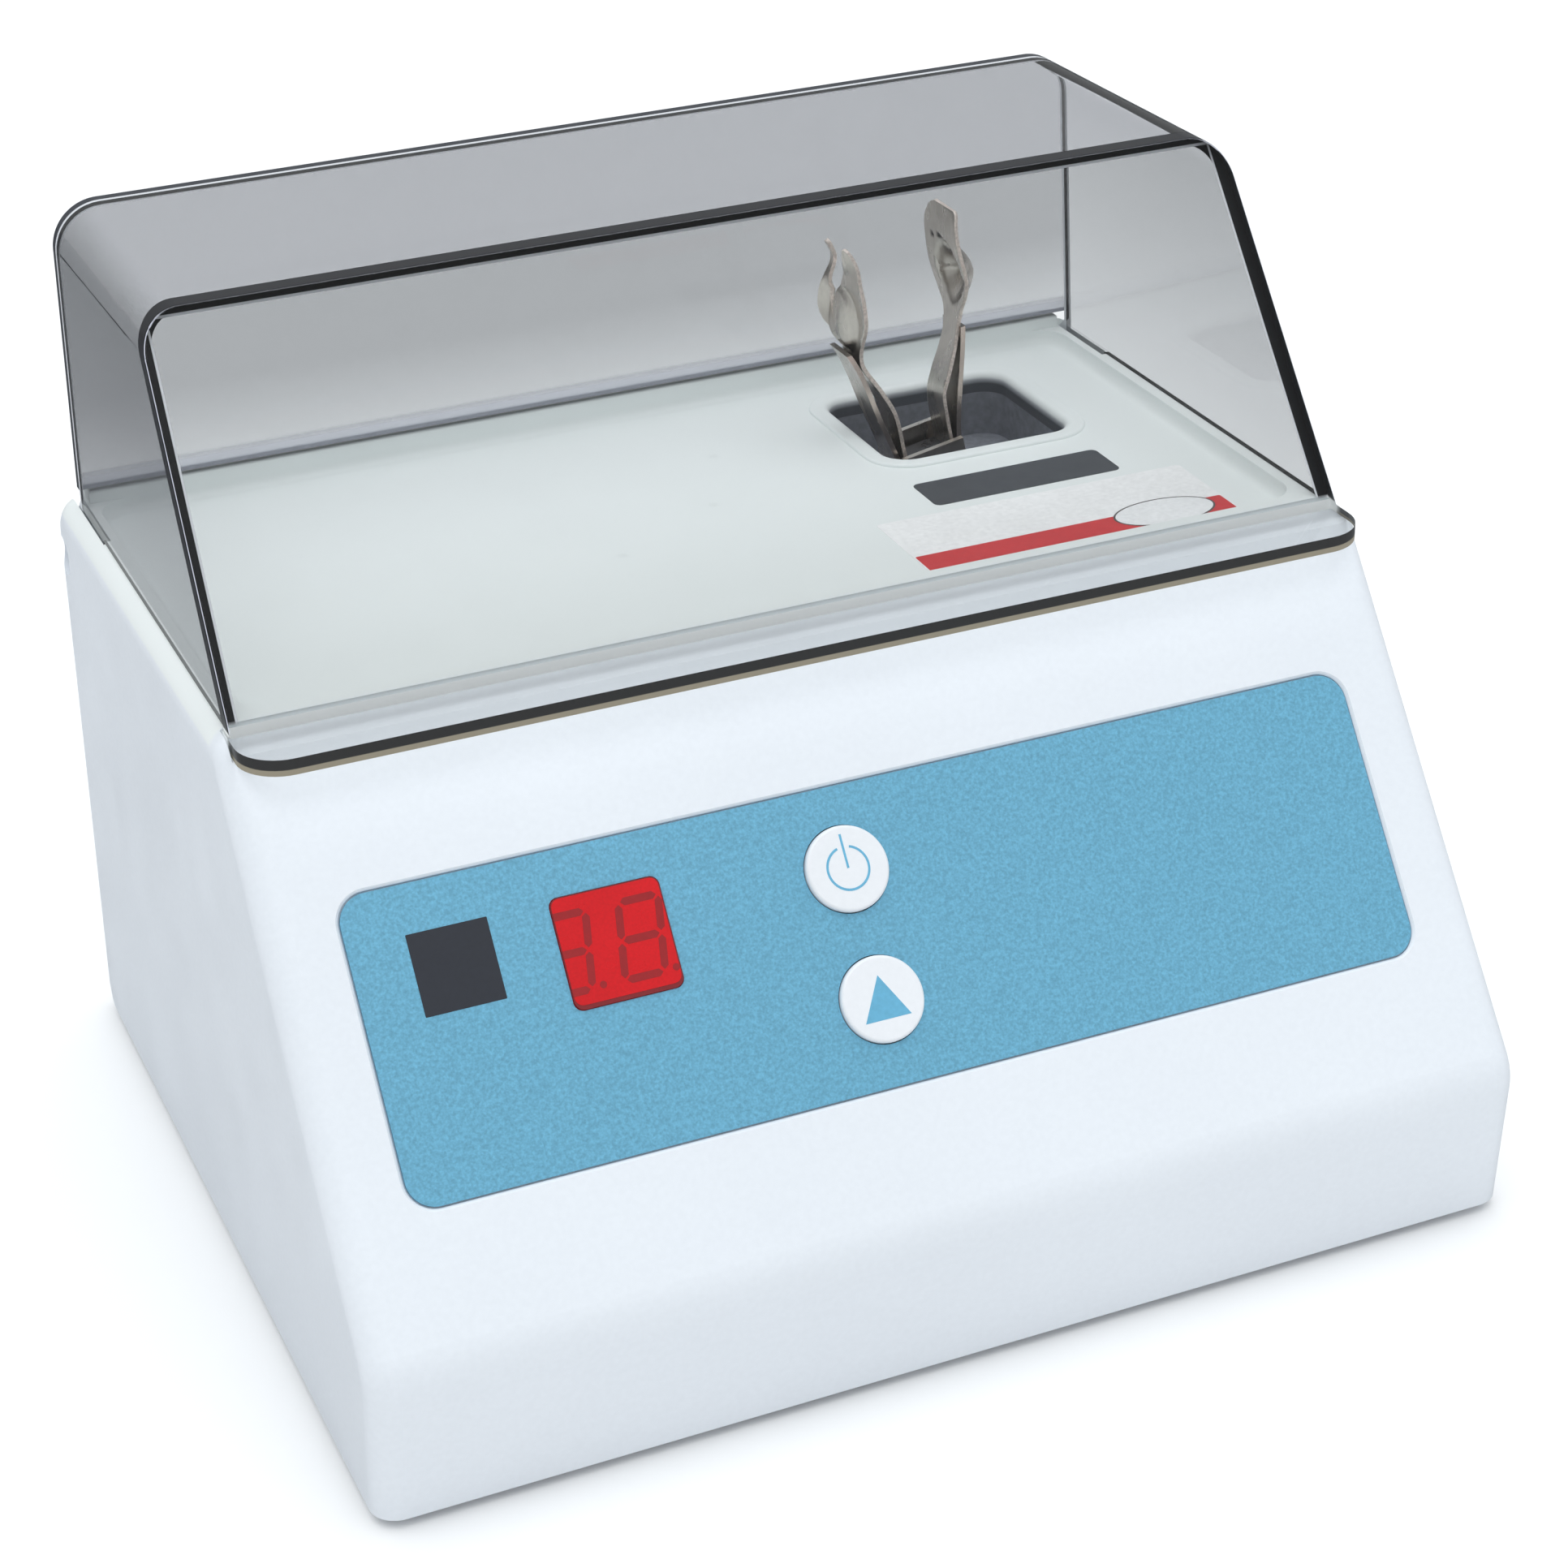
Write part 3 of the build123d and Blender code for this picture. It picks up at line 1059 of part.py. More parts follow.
def on_board(x, y, length, width, height):
    """A box that stands on the power board, at a place measured from the board's middle."""
    top = BOARD_Z + BOARD_THICKNESS
    return block((MAINS_X + x - length / 2, MAINS_X + x + length / 2),
                 (MAINS_Y + y - width / 2, MAINS_Y + y + width / 2), (top, top + height))


def transformer():
    coil = on_board(0, TRANSFORMER_Y, COIL_LENGTH, TRANSFORMER_WIDTH, COIL_HEIGHT)
    coil = fillet(coil.edges().filter_by(Axis.Z), COIL_ROUNDING)
    return on_board(0, TRANSFORMER_Y, TRANSFORMER_LENGTH, TRANSFORMER_STACK, TRANSFORMER_HEIGHT) + coil


def power_capacitors():
    top = BOARD_Z + BOARD_THICKNESS
    return [rod("z", CAPACITOR_RADIUS, top, top + CAPACITOR_HEIGHT,
                (MAINS_X + i * CAPACITOR_PITCH, MAINS_Y + CAPACITOR_Y)) for i in (-1, 0, 1)]


def relay():
    return on_board(RELAY_X, BACK_ROW_Y, RELAY_LENGTH, RELAY_WIDTH, RELAY_HEIGHT)


def heat_sink():
    sink = on_board(SINK_X, BACK_ROW_Y, SINK_LENGTH, SINK_WEB, SINK_HEIGHT)
    pitch = (SINK_LENGTH - FIN_SHEET) / (SINK_FINS - 1)
    for i in range(SINK_FINS):
        x = SINK_X - (SINK_LENGTH - FIN_SHEET) / 2 + i * pitch
        sink = sink + on_board(x, BACK_ROW_Y, FIN_SHEET, SINK_WIDTH, SINK_HEIGHT)
    return sink


# ---------------------------------------------------------------- build
def main():
    cover = cover_envelope()
    save("housing_shell", housing_shell())
    save("base_plate", base_plate())
    save("rubber_feet", rubber_feet())
    save("base_screws", base_screws())
    save("control_overlay", control_overlay())
    save("display_window", display_window())
    save("display_module", display_module())
    save("power_button", push_button(POWER_UP))
    save("time_button", push_button(TIME_UP))
    save("button_switches", button_switches())
    save("control_board", control_board())
    save("control_board_screws", control_board_screws())
    save("cover_hood", cover_hood(cover))
    save("cover_back_panel", cover_back_panel(cover))
    save("cover_front_window", cover_front_window(cover))
    save("hinge_pins", hinge_pins())
    save("cover_switch", cover_switch())
    save("well_boot", well_boot())
    save("fork_arm", fork_arm())
    save("fork_bracket", fork_bracket())
    save("left_fork", left_fork())
    save("right_fork", right_fork())
    save("left_backing_leaf", backing_leaf(LEFT_LEAF, -1))
    save("right_backing_leaf", backing_leaf(RIGHT_LEAF, 1))
    save("left_rivets", fork_rivets(-1))
    save("right_rivets", fork_rivets(1))
    save("bearing_outer_race", bearing_outer_race())
    save("bearing_balls", bearing_balls())
    save("bearing_inner_race", bearing_inner_race())
    save("skew_hub", skew_hub())
    save("arm_springs", arm_springs())
    save("spring_posts", spring_posts())
    save("motor_shaft", motor_shaft())
    save("motor_rotor", motor_rotor())
    save("motor_stator", motor_stator())
    save("motor_can", motor_can())
    save("motor_front_bell", motor_bell(CAN_RIGHT_X, 1))
    save("motor_rear_bell", motor_bell(CAN_LEFT_X, -1))
    save("cooling_fan", cooling_fan())
    save("motor_cradle", motor_cradle())
    save("motor_straps", motor_straps())
    save("motor_isolators", motor_isolators())
    save("power_inlet", power_inlet())
    save("inlet_pins", inlet_pins())
    save("fuse_drawer", fuse_drawer())
    save("power_board", power_board())
    save("power_board_spacers", power_board_spacers())
    save("transformer", transformer())
    save("power_capacitors", power_capacitors())
    save("relay", relay())
    save("heat_sink", heat_sink())


main()
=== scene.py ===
import json
from math import cos, pi, radians, sin, sqrt

import bmesh
import bpy
from mathutils import Matrix, Vector


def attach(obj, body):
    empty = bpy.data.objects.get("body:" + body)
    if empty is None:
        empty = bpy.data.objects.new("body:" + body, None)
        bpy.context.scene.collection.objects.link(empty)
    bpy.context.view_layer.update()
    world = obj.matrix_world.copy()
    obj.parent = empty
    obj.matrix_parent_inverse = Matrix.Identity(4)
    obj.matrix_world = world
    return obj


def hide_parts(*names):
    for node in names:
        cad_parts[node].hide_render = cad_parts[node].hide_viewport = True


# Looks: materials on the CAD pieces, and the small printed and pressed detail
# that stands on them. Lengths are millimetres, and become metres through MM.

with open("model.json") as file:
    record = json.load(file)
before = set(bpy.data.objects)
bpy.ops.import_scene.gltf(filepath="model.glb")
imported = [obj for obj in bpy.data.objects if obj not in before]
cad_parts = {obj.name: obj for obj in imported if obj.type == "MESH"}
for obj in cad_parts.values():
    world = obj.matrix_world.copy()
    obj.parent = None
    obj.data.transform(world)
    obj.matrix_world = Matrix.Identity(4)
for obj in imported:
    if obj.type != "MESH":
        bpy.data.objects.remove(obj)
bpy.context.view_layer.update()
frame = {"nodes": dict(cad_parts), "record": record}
nodes = frame["nodes"]
MM = 0.001

# ---------------------------------------------------------------- sizes shared with the CAD part
CREASE = (0.0, -95.0, 31.2)
SLOPE_DEG = 53.6
TRAY_Z = 115.0
PANEL_RECESS = 0.2
BUTTON_X = -7.05
POWER_UP = 63.6
TIME_UP = 40.7
BUTTON_PROUD = 0.9
DISPLAY_X = -49.7
DISPLAY_UP = 60.45
DISPLAY_WIDTH = 19.4
DISPLAY_HEIGHT = 19.1
DISPLAY_RADIUS = 1.7
RIM_Z = 117.6
COVER_RISE = 58.0               # from the rim to the cover's top
COVER_INNER_Z = 173.55
COVER_HALF_WIDTH = 104.0
COVER_SIDE = 2.0
COVER_LEAN = 0.02933            # the sides' slope
HOOD_BACK_Y = 73.8
WINDOW_SHEET = 3.0
WINDOW_FOOT_Y = -30.6
LIP_TOP_Z = 117.05
LIP_TAN_Z = 115.2               # the lip's edge is tan below this
BACK_FOOT_Z = 123.5
GLUE_LINE = 0.4
BACK_GLUE_LINE = 0.8
BLOCK_HALF = 4.8                # the block between the bracket's walls
WELL = (61.5, 46.2)
WELL_HALF = (19.25, 17.1)
PIVOT_Z = 80.6
ARM_TILT_DEG = 10.5
FORK_SHEET = 0.8

# ---------------------------------------------------------------- marks on the white moulding
EJECTOR_MARKS = ((-19.4, 12.5), (12.9, 48.2), (4.0, 26.5))

# ---------------------------------------------------------------- camera
LENS_PX = 4253.6                # focal length in the photograph's pixels
PHOTO_PX = 1932
CENTRE_PX = (950.4, 962.5)      # where the camera's axis meets the photograph
SENSOR_MM = 36.0
CAMERA_AT = (-212.66, -525.64, 370.22)
CAMERA_AZIMUTH = 22.321
CAMERA_ELEVATION = 27.878
CAMERA_ROLL = -1.874

# ---------------------------------------------------------------- light
ACRYLIC_IOR = 1.49              # for its gloss
SHEET_IOR = 1.2                 # for what shows through it, which the thin sheets hardly move
LIGHT_LOW = 0.47                # level with the bench
LIGHT_HIGH = 1.22               # straight overhead
SOFTBOX = 1.04                  # a broad lamp over the object
SOFTBOX_SPREAD_DEG = 75.0


# ---------------------------------------------------------------- node helpers
def srgb(r, g, b):
    """An 8-bit display colour as linear RGBA."""
    def linear(value):
        value = value / 255
        return value / 12.92 if value <= 0.04045 else ((value + 0.055) / 1.055) ** 2.4
    return (linear(r), linear(g), linear(b), 1.0)


def math_node(tree, operation, first, second=0.0):
    """One step of arithmetic on two values, each a socket or a number."""
    node = tree.nodes.new("ShaderNodeMath")
    node.operation = operation
    for socket, value in zip(node.inputs, (first, second)):
        if isinstance(value, (int, float)):
            socket.default_value = value
        else:
            tree.links.new(value, socket)
    return node.outputs["Value"]


def band(tree, value, low, high, at_low=0.0, at_high=1.0):
    """value from low to high becomes a number from at_low to at_high."""
    node = tree.nodes.new("ShaderNodeMapRange")
    for name, number in (("From Min", low), ("From Max", high), ("To Min", at_low), ("To Max", at_high)):
        node.inputs[name].default_value = number
    tree.links.new(value, node.inputs["Value"])
    return node.outputs["Result"]


def millimetres(tree, vector):
    """x, y and z of a place in the row frame, in millimetres."""
    split = tree.nodes.new("ShaderNodeSeparateXYZ")
    tree.links.new(vector, split.inputs["Vector"])
    return {axis: math_node(tree, "MULTIPLY", split.outputs[axis], 1 / MM) for axis in "XYZ"}


class Shader:
    """A Principled material that adds its texture nodes one call at a time."""

    def __init__(self, name, colour, roughness, metallic=0.0, specular=0.5):
        self.material = bpy.data.materials.new(name)
        self.material.use_nodes = True
        self.tree = self.material.node_tree
        self.links = self.tree.links
        self.bsdf = self.tree.nodes["Principled BSDF"]
        self.coords = self.tree.nodes.new("ShaderNodeTexCoord").outputs["Object"]
        self.set("Base Color", colour)
        self.set("Roughness", roughness)
        self.set("Metallic", metallic)
        self.set("Specular IOR Level", specular)
        self.height = None

    def set(self, socket, value):
        self.bsdf.inputs[socket].default_value = value

    def node(self, kind, **inputs):
        node = self.tree.nodes.new(kind)
        for name, value in inputs.items():
            node.inputs[name].default_value = value
        return node

    def noise(self, scale, detail, stretch=(1, 1, 1)):
        mapping = self.node("ShaderNodeMapping", Scale=stretch)
        self.links.new(self.coords, mapping.inputs["Vector"])
        noise = self.node("ShaderNodeTexNoise", Scale=scale, Detail=detail)
        self.links.new(mapping.outputs["Vector"], noise.inputs["Vector"])
        return noise.outputs["Fac"]

    def ramp(self, source, low, high, dark, light):
        return band(self.tree, source, low, high, dark, light)

    def mix_colour(self, blend_type):
        """A mix node between the base colour so far and the shader."""
        mix = self.tree.nodes.new("ShaderNodeMix")
        mix.data_type = "RGBA"
        mix.blend_type = blend_type
        before = self.bsdf.inputs["Base Color"]
        if before.links:
            self.links.new(before.links[0].from_socket, mix.inputs["A"])
        else:
            mix.inputs["A"].default_value = before.default_value
        self.links.new(mix.outputs["Result"], before)
        return mix

    def shade(self, source, low, high, dark, light):
        """Darkens and lightens the base colour where source varies."""
        factor = self.ramp(source, low, high, dark, light)
        mix = self.mix_colour("MULTIPLY")
        mix.inputs["Factor"].default_value = 1.0
        grey = self.tree.nodes.new("ShaderNodeCombineColor")
        for channel in ("Red", "Green", "Blue"):
            self.links.new(factor, grey.inputs[channel])
        self.links.new(grey.outputs["Color"], mix.inputs["B"])

    def tint(self, source, colour, low, high):
        """Mixes another colour in where source passes from low to high."""
        mix = self.mix_colour("MIX")
        mix.inputs["B"].default_value = colour
        self.links.new(self.ramp(source, low, high, 0.0, 1.0), mix.inputs["Factor"])

    def rough(self, source, low, high):
        """Roughness follows source between two values."""
        self.links.new(self.ramp(source, 0.3, 0.7, low, high), self.bsdf.inputs["Roughness"])

    def bump(self, source, strength, distance):
        """Adds relief; distance is its height in millimetres."""
        node = self.node("ShaderNodeBump", Strength=strength, Distance=distance * MM)
        self.links.new(source, node.inputs["Height"])
        if self.height is not None:
            self.links.new(self.height, node.inputs["Normal"])
        self.height = node.outputs["Normal"]
        self.links.new(self.height, self.bsdf.inputs["Normal"])

    def math(self, operation, first, second=0.0):
        return math_node(self.tree, operation, first, second)

    def place(self):
        return millimetres(self.tree, self.coords).values()

    def facing(self):
        """The surface's direction, axis by axis."""
        split = self.node("ShaderNodeSeparateXYZ")
        self.links.new(self.node("ShaderNodeTexCoord").outputs["Normal"], split.inputs["Vector"])
        return split.outputs

    def near(self, value, middle, inside, outside):
        """1 where value is within inside of middle, falling to 0 at outside."""
        away = self.math("ABSOLUTE", self.math("SUBTRACT", value, middle))
        return self.ramp(away, inside, outside, 1.0, 0.0)


# ---------------------------------------------------------------- materials
def moulded_plastic(name, colour, roughness, grain=0.02):
    """Injection-moulded plastic: spark-eroded grain, faint flow clouds, uneven sheen."""
    shader = Shader(name, colour, roughness)
    shader.shade(shader.noise(14.0, 3.0), 0.3, 0.7, 0.975, 1.01)
    shader.shade(shader.noise(900.0, 2.0), 0.3, 0.7, 0.985, 1.01)
    shader.rough(shader.noise(60.0, 5.0), roughness - 0.05, roughness + 0.07)
    shader.bump(shader.noise(2600.0, 2.0), 0.25, grain)
    return shader


def housing_white():
    """White mouldings, with painted shade deepening down inside the well, the tray's floor painted a little
    brighter as painted light, and the ejector marks on the tray.
    """
    shader = moulded_plastic("housing_white", srgb(236, 241, 247), 0.42)
    shader.set("Subsurface Weight", 0.05)
    shader.set("Subsurface Radius", (0.004, 0.004, 0.004))
    x, y, z = shader.place()
    over = shader.ramp(z, TRAY_Z - 1.0, TRAY_Z - 0.4, 0.0, 1.0)
    # painted light: the tray's floor is a little brighter and less blue than the rest, for the light under
    # the cover
    tray = shader.math("MULTIPLY", over, shader.ramp(y, -27.0, -25.5, 0.0, 1.0))
    shader.tint(tray, srgb(242, 247, 246), 0.0, 1.0)
    # painted shade: the white grows dark grey down inside the well, where shade falls
    well = shader.math("MULTIPLY", shader.near(x, WELL[0], WELL_HALF[0] + 0.1, WELL_HALF[0] + 0.4),
                       shader.near(y, WELL[1], WELL_HALF[1] + 0.1, WELL_HALF[1] + 0.4))
    deep = shader.math("MULTIPLY", well, shader.ramp(z, TRAY_Z - 0.4, TRAY_Z - 1.8, 0.0, 1.0))
    shader.tint(deep, srgb(84, 88, 94), 0.0, 1.0)
    for at in EJECTOR_MARKS:
        mark = shader.math("MULTIPLY", shader.near(x, at[0], 0.5, 1.3), shader.near(y, at[1], 0.5, 1.3))
        shader.shade(shader.math("MULTIPLY", mark, over), 0.0, 1.0, 1.0, 0.94)
    return shader.material


def panel_blue():
    """A printed film over a fine metallic grain."""
    shader = Shader("panel_blue", srgb(106, 174, 204), 0.34, metallic=0.12)
    shader.shade(shader.noise(1500.0, 3.0), 0.35, 0.65, 0.86, 1.1)
    shader.shade(shader.noise(2800.0, 2.0), 0.3, 0.7, 0.9, 1.08)
    shader.shade(shader.noise(9.0, 2.0), 0.3, 0.7, 0.985, 1.015)
    shader.rough(shader.noise(90.0, 4.0), 0.3, 0.4)
    shader.bump(shader.noise(1500.0, 3.0), 0.15, 0.02)
    shader.set("Coat Weight", 0.25)
    shader.set("Coat Roughness", 0.25)
    return shader.material


def display_red():
    """The filter in front of the digits, with a faint painted glow."""
    shader = Shader("display_red", srgb(206, 20, 28), 0.3, specular=0.3)
    shader.shade(shader.noise(60.0, 2.0), 0.3, 0.7, 0.93, 1.03)
    shader.shade(shader.noise(2200.0, 2.0), 0.3, 0.7, 0.93, 1.06)
    shader.rough(shader.noise(140.0, 4.0), 0.26, 0.36)
    shader.bump(shader.noise(1500.0, 2.0), 0.08, 0.01)
    # painted glow: a faint emission, though the filter is no lamp and its segments are unlit
    shader.set("Emission Color", srgb(226, 28, 34))
    shader.set("Emission Strength", 0.07)
    return shader.material


def ink(name, colour, roughness=0.4):
    """Printed or painted detail with the slight mottle of screen print."""
    shader = Shader(name, colour, roughness)
    shader.shade(shader.noise(1100.0, 2.0), 0.3, 0.7, 0.94, 1.05)
    shader.shade(shader.noise(45.0, 3.0), 0.3, 0.7, 0.96, 1.03)
    shader.rough(shader.noise(200.0, 3.0), roughness - 0.05, roughness + 0.08)
    shader.bump(shader.noise(1800.0, 2.0), 0.1, 0.01)
    return shader.material


def tint_of(share):
    """One face's part of the light that gets through the whole sheet."""
    return [sqrt(part) for part in share] + [1.0]


def colour_mix(tree, factor, first, second):
    mix = tree.nodes.new("ShaderNodeMix")
    mix.data_type = "RGBA"
    tree.links.new(factor, mix.inputs["Factor"])
    for name, value in (("A", first), ("B", second)):
        if isinstance(value, list):
            mix.inputs[name].default_value = value
        else:
            tree.links.new(value, mix.inputs[name])
    return mix.outputs["Result"]


def cover_pane(name, clear, edges, clear_low_painted_light=None, rise=COVER_RISE, sides=None, sides_low_painted_light=None, gloss=0.5):
    """Smoky acrylic: clear is the share of light that gets through the sheet, sides that of its side walls,
    kept darker than the top as painted shade.

    The low shares are those at the foot of the cover, clearer there as painted light, and rise is how far up
    they fade out.
    """
    material = bpy.data.materials.new(name)
    material.use_nodes = True
    tree = material.node_tree
    tree.nodes.clear()
    new, link = tree.nodes.new, tree.links.new
    refraction = new("ShaderNodeBsdfRefraction")
    refraction.inputs["IOR"].default_value = SHEET_IOR
    refraction.inputs["Roughness"].default_value = 0.0
    refraction.inputs["Color"].default_value = tint_of(clear)
    place = new("ShaderNodeTexCoord")
    normal = new("ShaderNodeSeparateXYZ")
    link(place.outputs["Normal"], normal.inputs["Vector"])
    point = millimetres(tree, place.outputs["Object"])
    height = band(tree, point["Z"], RIM_Z, RIM_Z + rise, 1.0, 0.0)
    # painted light: the sheet is made clearer towards its foot
    if clear_low_painted_light:
        link(colour_mix(tree, height, tint_of(clear), tint_of(clear_low_painted_light)), refraction.inputs["Color"])
    # painted shade: the side walls let less through than the top, and painted light makes them clearer
    # towards their foot
    if sides:
        square = math_node(tree, "MULTIPLY", normal.outputs["X"], normal.outputs["X"])
        shaded_wall = colour_mix(tree, height, tint_of(sides), tint_of(sides_low_painted_light))
        link(colour_mix(tree, square, tint_of(clear), shaded_wall), refraction.inputs["Color"])
    glossy = new("ShaderNodeBsdfGlossy")
    glossy.inputs["Roughness"].default_value = 0.03
    fresnel = new("ShaderNodeFresnel")
    fresnel.inputs["IOR"].default_value = ACRYLIC_IOR
    sheet = new("ShaderNodeMixShader")
    outside = band(tree, new("ShaderNodeNewGeometry").outputs["Backfacing"], 0.0, 1.0, gloss, 0.0)
    link(math_node(tree, "MULTIPLY", fresnel.outputs["Fac"], outside), sheet.inputs["Fac"])
    link(refraction.outputs["BSDF"], sheet.inputs[1])
    link(glossy.outputs["BSDF"], sheet.inputs[2])
    light = new("ShaderNodeLightPath")
    clear_to_lamps = new("ShaderNodeBsdfTransparent")
    clear_to_lamps.inputs["Color"].default_value = (0.96, 0.96, 0.96, 1.0)
    surface = new("ShaderNodeMixShader")
    link(light.outputs["Is Shadow Ray"], surface.inputs["Fac"])
    link(sheet.outputs["Shader"], surface.inputs[1])
    link(clear_to_lamps.outputs["BSDF"], surface.inputs[2])
    result = edges(tree, normal.outputs, point, surface.outputs["Shader"])
    link(result, new("ShaderNodeOutputMaterial").inputs["Surface"])
    return material


def edge_coat(tree, under, share, colour, roughness, painted_glow=0.0):
    """Covers a share of the surface with an opaque colour; painted_glow is painted light, an emission
    standing in for light that the sheet pipes there.
    """
    coat = tree.nodes.new("ShaderNodeBsdfPrincipled")
    coat.inputs["Base Color"].default_value = colour
    coat.inputs["Roughness"].default_value = roughness
    coat.inputs["Specular IOR Level"].default_value = 0.15
    # painted light: the coat gives off painted_glow, though it is no lamp
    coat.inputs["Emission Color"].default_value = colour
    coat.inputs["Emission Strength"].default_value = painted_glow
    mix = tree.nodes.new("ShaderNodeMixShader")
    tree.links.new(share, mix.inputs["Fac"])
    tree.links.new(under, mix.inputs[1])
    tree.links.new(coat.outputs["BSDF"], mix.inputs[2])
    return mix.outputs["Shader"]


def size_of(tree, value):
    """A value without its sign."""
    return math_node(tree, "ABSOLUTE", value)


def both(tree, first, second):
    """The share of the surface where two shares hold at once."""
    return math_node(tree, "MULTIPLY", first, second)


def other_than(tree, share):
    """The share of the surface that a share leaves."""
    return math_node(tree, "SUBTRACT", 1.0, share)


def hood_edges(tree, normal, point, under):
    """The hood's cut ends are painted black as shade, and the glue round its back end is pale, partly painted
    highlight.
    """
    end = band(tree, size_of(tree, normal["Y"]), 0.3, 0.4)
    seam_y = HOOD_BACK_Y - BACK_GLUE_LINE
    seam_painted_light = both(tree, band(tree, point["Y"], seam_y - 0.1, seam_y, 0.0, 0.85), other_than(tree, end))
    # painted shade on the cut ends, and pale glue with a painted highlight
    under = edge_coat(tree, under, end, srgb(20, 20, 22), 0.3)
    return edge_coat(tree, under, seam_painted_light, srgb(232, 235, 240), 0.3)


def window_edges(tree, normal, point, under):
    """Painted shade on the sawn rim and a painted highlight on its corner, the hood's end behind it painted
    black as shade with pale glue partly painted highlight, and painted shade on the lip's front.
    """
    across = size_of(tree, normal["Y"])
    aside = size_of(tree, point["X"])
    above = band(tree, point["Z"], LIP_TOP_Z + 0.3, LIP_TOP_Z + 0.8)
    rim = both(tree, above, band(tree, across, 0.46, 0.4))
    corner = both(tree, band(tree, across, 0.44, 0.5), band(tree, across, 0.7, 0.64))
    # painted highlight on the rim's corner, stronger on the side edges
    highlight_share = band(tree, size_of(tree, normal["X"]), 0.1, 0.4, 0.15, 0.9)
    corner = both(tree, above, both(tree, corner, highlight_share))

    # the pane's back face, where the hood's end is glued to it: the end painted black as shade, the glue pale
    # with a painted highlight
    slope = radians(SLOPE_DEG)
    deep = math_node(tree, "SUBTRACT", both(tree, point["Y"], sin(slope)), both(tree, point["Z"], cos(slope)))
    back = WINDOW_FOOT_Y * sin(slope) - LIP_TOP_Z * cos(slope) + WINDOW_SHEET
    behind = both(tree, band(tree, deep, back - 0.2, back - 0.1), band(tree, across, 0.7, 0.75))
    behind = both(tree, above, behind)
    out = math_node(tree, "ADD", aside, both(tree, point["Z"], COVER_LEAN))
    side = COVER_HALF_WIDTH - COVER_SIDE + RIM_Z * COVER_LEAN
    borders = []
    for inset in (GLUE_LINE, 0.0):
        borders.append(math_node(tree, "MAXIMUM", band(tree, out, side - inset - 0.06, side - inset),
                                 band(tree, point["Z"], COVER_INNER_Z - inset - 0.06, COVER_INNER_Z - inset)))
    glue_highlight, glued = borders

    # the lip's edges are painted shade outside, and painted light with an emission where they meet the tray
    below = other_than(tree, above)
    upright = both(tree, below, band(tree, size_of(tree, normal["Z"]), 0.5, 0.35))
    outer = both(tree, band(tree, aside, 99.0, 100.0), band(tree, point["Y"], -29.5, -31.5))
    outer = math_node(tree, "MAXIMUM", band(tree, point["Y"], -31.0, -34.0), outer)
    lip = both(tree, upright, outer)
    seam_painted_light = both(tree, upright, other_than(tree, outer))
    tan = both(tree, lip, band(tree, point["Z"], LIP_TAN_Z, LIP_TAN_Z - 0.15))

    # painted highlight at the glue, the hood's end painted black as shade, painted light at the lip's back,
    # painted shade on the rim, a painted highlight on the corner and painted shade on the lip's front
    under = edge_coat(tree, under, both(tree, behind, glue_highlight), srgb(232, 235, 240), 0.3)
    under = edge_coat(tree, under, both(tree, behind, glued), srgb(22, 22, 24), 0.3)
    under = edge_coat(tree, under, seam_painted_light, srgb(238, 241, 241), 0.4, painted_glow=0.22)
    under = edge_coat(tree, under, rim, srgb(30, 31, 35), 0.3)
    under = edge_coat(tree, under, corner, srgb(222, 225, 238), 0.2)
    under = edge_coat(tree, under, lip, srgb(60, 60, 60), 0.3)
    return edge_coat(tree, under, tan, srgb(156, 148, 130), 0.35)


def back_edges(tree, normal, point, under):
    """Painted shade on the sawn rim, and the pale glued foot."""
    # painted shade on the rim
    rim = band(tree, size_of(tree, normal["Y"]), 0.93, 0.86)
    foot = band(tree, point["Z"], BACK_FOOT_Z + 0.3, BACK_FOOT_Z - 0.3, 0.0, 0.34)
    under = edge_coat(tree, under, foot, srgb(226, 229, 242), 0.4)
    return edge_coat(tree, under, rim, srgb(48, 51, 58), 0.3)


def rubber(name, colour):
    shader = Shader(name, colour, 0.75)
    shader.shade(shader.noise(700.0, 3.0), 0.3, 0.7, 0.85, 1.15)
    shader.shade(shader.noise(30.0, 3.0), 0.3, 0.7, 0.92, 1.08)
    shader.rough(shader.noise(120.0, 3.0), 0.65, 0.85)
    shader.bump(shader.noise(1600.0, 3.0), 0.3, 0.04)
    return shader.material


def polished_steel(name, colour, roughness, along=(1, 1, 1)):
    """Rolled and polished sheet: fine draw lines, faint stains."""
    shader = Shader(name, colour, roughness, metallic=1.0)
    shader.shade(shader.noise(1400.0, 3.0, along), 0.3, 0.7, 0.93, 1.05)
    shader.shade(shader.noise(90.0, 4.0), 0.35, 0.7, 0.9, 1.05)
    shader.rough(shader.noise(240.0, 4.0, along), max(0.05, roughness - 0.07), roughness + 0.1)
    shader.bump(shader.noise(1400.0, 3.0, along), 0.1, 0.01)
    return shader


def fork_sheet():
    """Spring steel with a warm cast; its cut edges at front and back are brighter."""
    shader = polished_steel("fork_steel", srgb(176, 169, 162), 0.24, (1, 1, 0.2))
    cut = shader.ramp(shader.math("ABSOLUTE", shader.facing()["Y"]), 0.8, 0.92, 0.0, 1.0)
    shader.tint(cut, srgb(206, 192, 182), 0.0, 1.0)
    return shader.material


